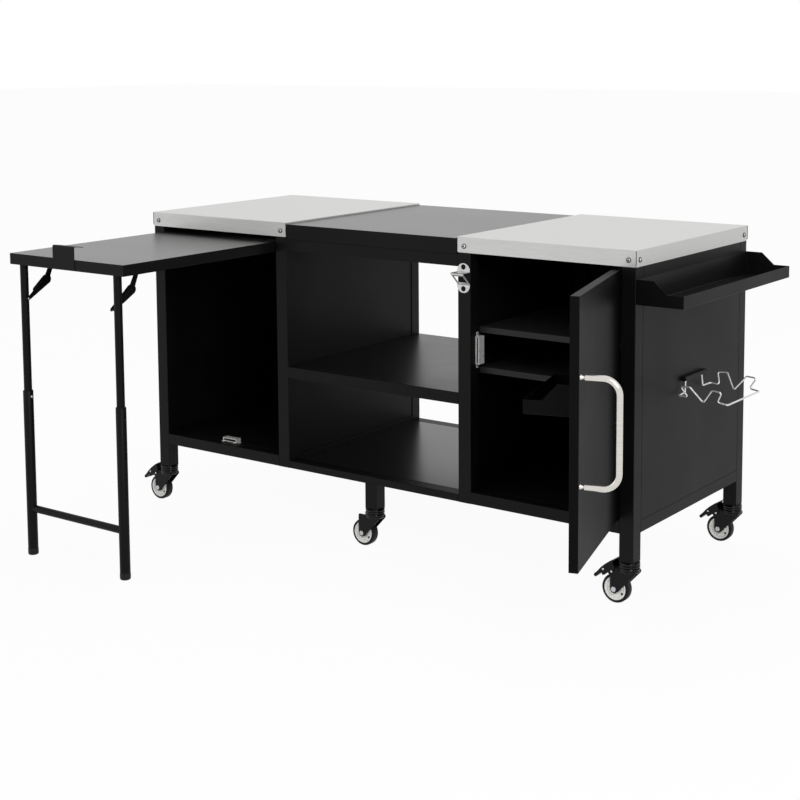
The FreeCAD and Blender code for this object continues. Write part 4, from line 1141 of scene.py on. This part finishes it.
def make_pedal(name, origin):
    """The brake pedal: its tread on two cheeks, and its rivets."""
    body = "pedal_" + name
    width = 37 * MM
    tread_side = front_plane(origin + Y_AXIS * (width / 2))
    shapes = [plate(tread_outline(), tread_side, width)]
    cheek = (
        (-88, 63), (-84, 62.5), (-78, 68), (-70, 75), (-66.5, 67.5), (-60, 71), (-51, 78),
        (-43, 76), (-35, 82), (-34, 96), (-40, 110), (-47, 107), (-60, 98), (-72, 87), (-83, 72),
    )
    corners = rounded_outline(in_metres(cheek), 1.6 * MM)
    sheet = 2 * MM
    half_span = 19 * MM
    for face in (-half_span, half_span - sheet):
        shapes.append(plate(corners, front_plane(origin + Y_AXIS * (face + sheet)), sheet))
    piece = finish_mesh(
        f"caster_{name}_pedal", shapes, body, CASTER_COAT, edge=0.5 * MM
    )
    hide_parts("pedal_" + name)
    for way, side in ((-1, "front"), (1, "rear")):
        for number, (x, z) in enumerate(in_metres(((-65.5, 84.3), (-41.5, 82.5)))):
            place = origin + Vector((x, way * half_span, z))
            rivet(f"caster_{name}_rivet_{number}_{side}", place, Y_AXIS * way, body)


def make_casters():
    for name in CASTERS:
        origin = Vector(JOINTS["swivel_" + name]["pos_m"])
        origin.z = 0
        axle = Vector(JOINTS["roll_" + name]["pos_m"])
        braked = "brake_" + name in JOINTS
        make_race(name, origin)
        make_crown(name, origin)
        make_fork(name, origin, braked)
        make_axle(name, axle)
        make_wheel(name, axle)
        if braked:
            make_pedal(name, origin)
    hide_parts("caster_housings")


# Stage, light and camera

SOFT_LIGHT = 0.62
FLOOR_SHARE = 0.95
FLOOR_GREY = 0.8


def higher_of(tree, first, second):
    """A node that gives the higher of two sockets' values."""
    node = tree.nodes.new("ShaderNodeMath")
    node.operation = "MAXIMUM"
    tree.links.new(first, node.inputs[0])
    tree.links.new(second, node.inputs[1])
    return node.outputs[0]


def grey_shader(tree, kind, grey, strength=None):
    """A shader node of one grey, with a strength where it gives light."""
    node = tree.nodes.new(kind)
    node.inputs["Color"].default_value = (grey, grey, grey, 1)
    if strength is not None:
        node.inputs["Strength"].default_value = strength
    return node.outputs[0]


def mixed_surface(tree, output_kind, share, first, second):
    """Ends the tree with a mix of two shaders, by the second one's share."""
    mix = tree.nodes.new("ShaderNodeMixShader")
    for source, socket in zip((share, first, second), mix.inputs):
        tree.links.new(source, socket)
    output = tree.nodes.new(output_kind)
    tree.links.new(mix.outputs[0], output.inputs["Surface"])


def make_world():
    """Soft light on the object; white for the camera, for glossy and for transmitted rays."""
    world = bpy.data.worlds.new("studio")
    bpy.context.scene.world = world
    world.use_nodes = True
    tree = world.node_tree
    tree.nodes.clear()
    path = tree.nodes.new("ShaderNodeLightPath").outputs
    seen = higher_of(tree, path["Is Camera Ray"], path["Is Glossy Ray"])
    seen = higher_of(tree, seen, path["Is Transmission Ray"])
    soft = grey_shader(tree, "ShaderNodeBackground", 1, SOFT_LIGHT)
    white = grey_shader(tree, "ShaderNodeBackground", 1, 1)
    mixed_surface(tree, "ShaderNodeOutputWorld", seen, soft, white)


def make_floor():
    """A plain pale floor, near white to the camera, that keeps the object's shadow."""
    shape = bmesh.new()
    bmesh.ops.create_grid(shape, x_segments=1, y_segments=1, size=40)
    floor = new_object("floor", new_mesh("floor", shape))
    floor.location.z = -0.5 * MM
    material = bpy.data.materials.new("pale_floor")
    material.use_nodes = True
    tree = material.node_tree
    tree.nodes.clear()
    path = tree.nodes.new("ShaderNodeLightPath").outputs
    share = tree.nodes.new("ShaderNodeMath")
    share.operation = "MULTIPLY"
    share.inputs[1].default_value = FLOOR_SHARE
    seen = higher_of(tree, path["Is Camera Ray"], path["Is Glossy Ray"])
    tree.links.new(seen, share.inputs[0])
    diffuse = grey_shader(tree, "ShaderNodeBsdfDiffuse", FLOOR_GREY)
    glow = grey_shader(tree, "ShaderNodeEmission", 1, 1)
    mixed_surface(tree, "ShaderNodeOutputMaterial", share.outputs[0], diffuse, glow)
    floor.data.materials.append(material)


def area_light(name, place, target, size, power):
    light = bpy.data.lights.new(name, "AREA")
    light.shape = "RECTANGLE"
    light.size, light.size_y = size
    light.energy = power
    lamp = new_object(name, light)
    lamp.location = place
    lamp.rotation_mode = "QUATERNION"
    lamp.rotation_quaternion = (Vector(target) - Vector(place)).to_track_quat("-Z", "Y")
    return lamp


def make_lights():
    area_light("key", (3.2, -2.2, 2.4), target=(0.4, 0, 0.4), size=(1.4, 1.4), power=62)
    area_light("fill", (-2.6, -3.2, 1.8), target=(-0.3, 0, 0.4), size=(2.0, 2.0), power=10)
    top = area_light("top", (0, 0.6, 3.6), target=(0, 0, 0.8), size=(2.6, 2.0), power=34)
    top.visible_glossy = False


def make_camera():
    """The photograph's viewpoint; pixel measures are for an image of 800 by 800."""
    image_px = 800
    focal_px = 1571.476
    centre_px = (420.212, 220.0)
    place = Vector((2554.099, -3409.433, 1398.506)) * MM
    yaw, pitch, roll = (math.radians(angle) for angle in (35.845, 6.338, -0.3))
    camera = bpy.data.cameras.new("camera")
    camera.sensor_width = 36
    camera.lens = focal_px / image_px * camera.sensor_width
    camera.shift_x = (image_px / 2 - centre_px[0]) / image_px
    camera.shift_y = (centre_px[1] - image_px / 2) / image_px
    camera.clip_end = 100
    forward = Vector((
        -math.sin(yaw) * math.cos(pitch), math.cos(yaw) * math.cos(pitch), -math.sin(pitch),
    ))
    right = forward.cross(Z_AXIS).normalized()
    up = right.cross(forward)
    turned_right = right * math.cos(roll) + up * math.sin(roll)
    turned_up = up * math.cos(roll) - right * math.sin(roll)
    turn = Matrix((turned_right, turned_up, -forward)).transposed().to_4x4()
    holder = new_object("camera", camera)
    holder.matrix_world = Matrix.Translation(place) @ turn
    bpy.context.scene.camera = holder


def main():
    bpy.context.scene.view_settings.view_transform = "Standard"
    make_sheet_metal()
    make_skirt_screws()
    make_upper_legs()
    make_lower_legs()
    make_foot_caps()
    make_snap_buttons()
    make_braces()
    make_door()
    make_bag_wire()
    make_opener()
    make_catches()
    make_casters()
    make_world()
    make_floor()
    make_lights()
    make_camera()


main()
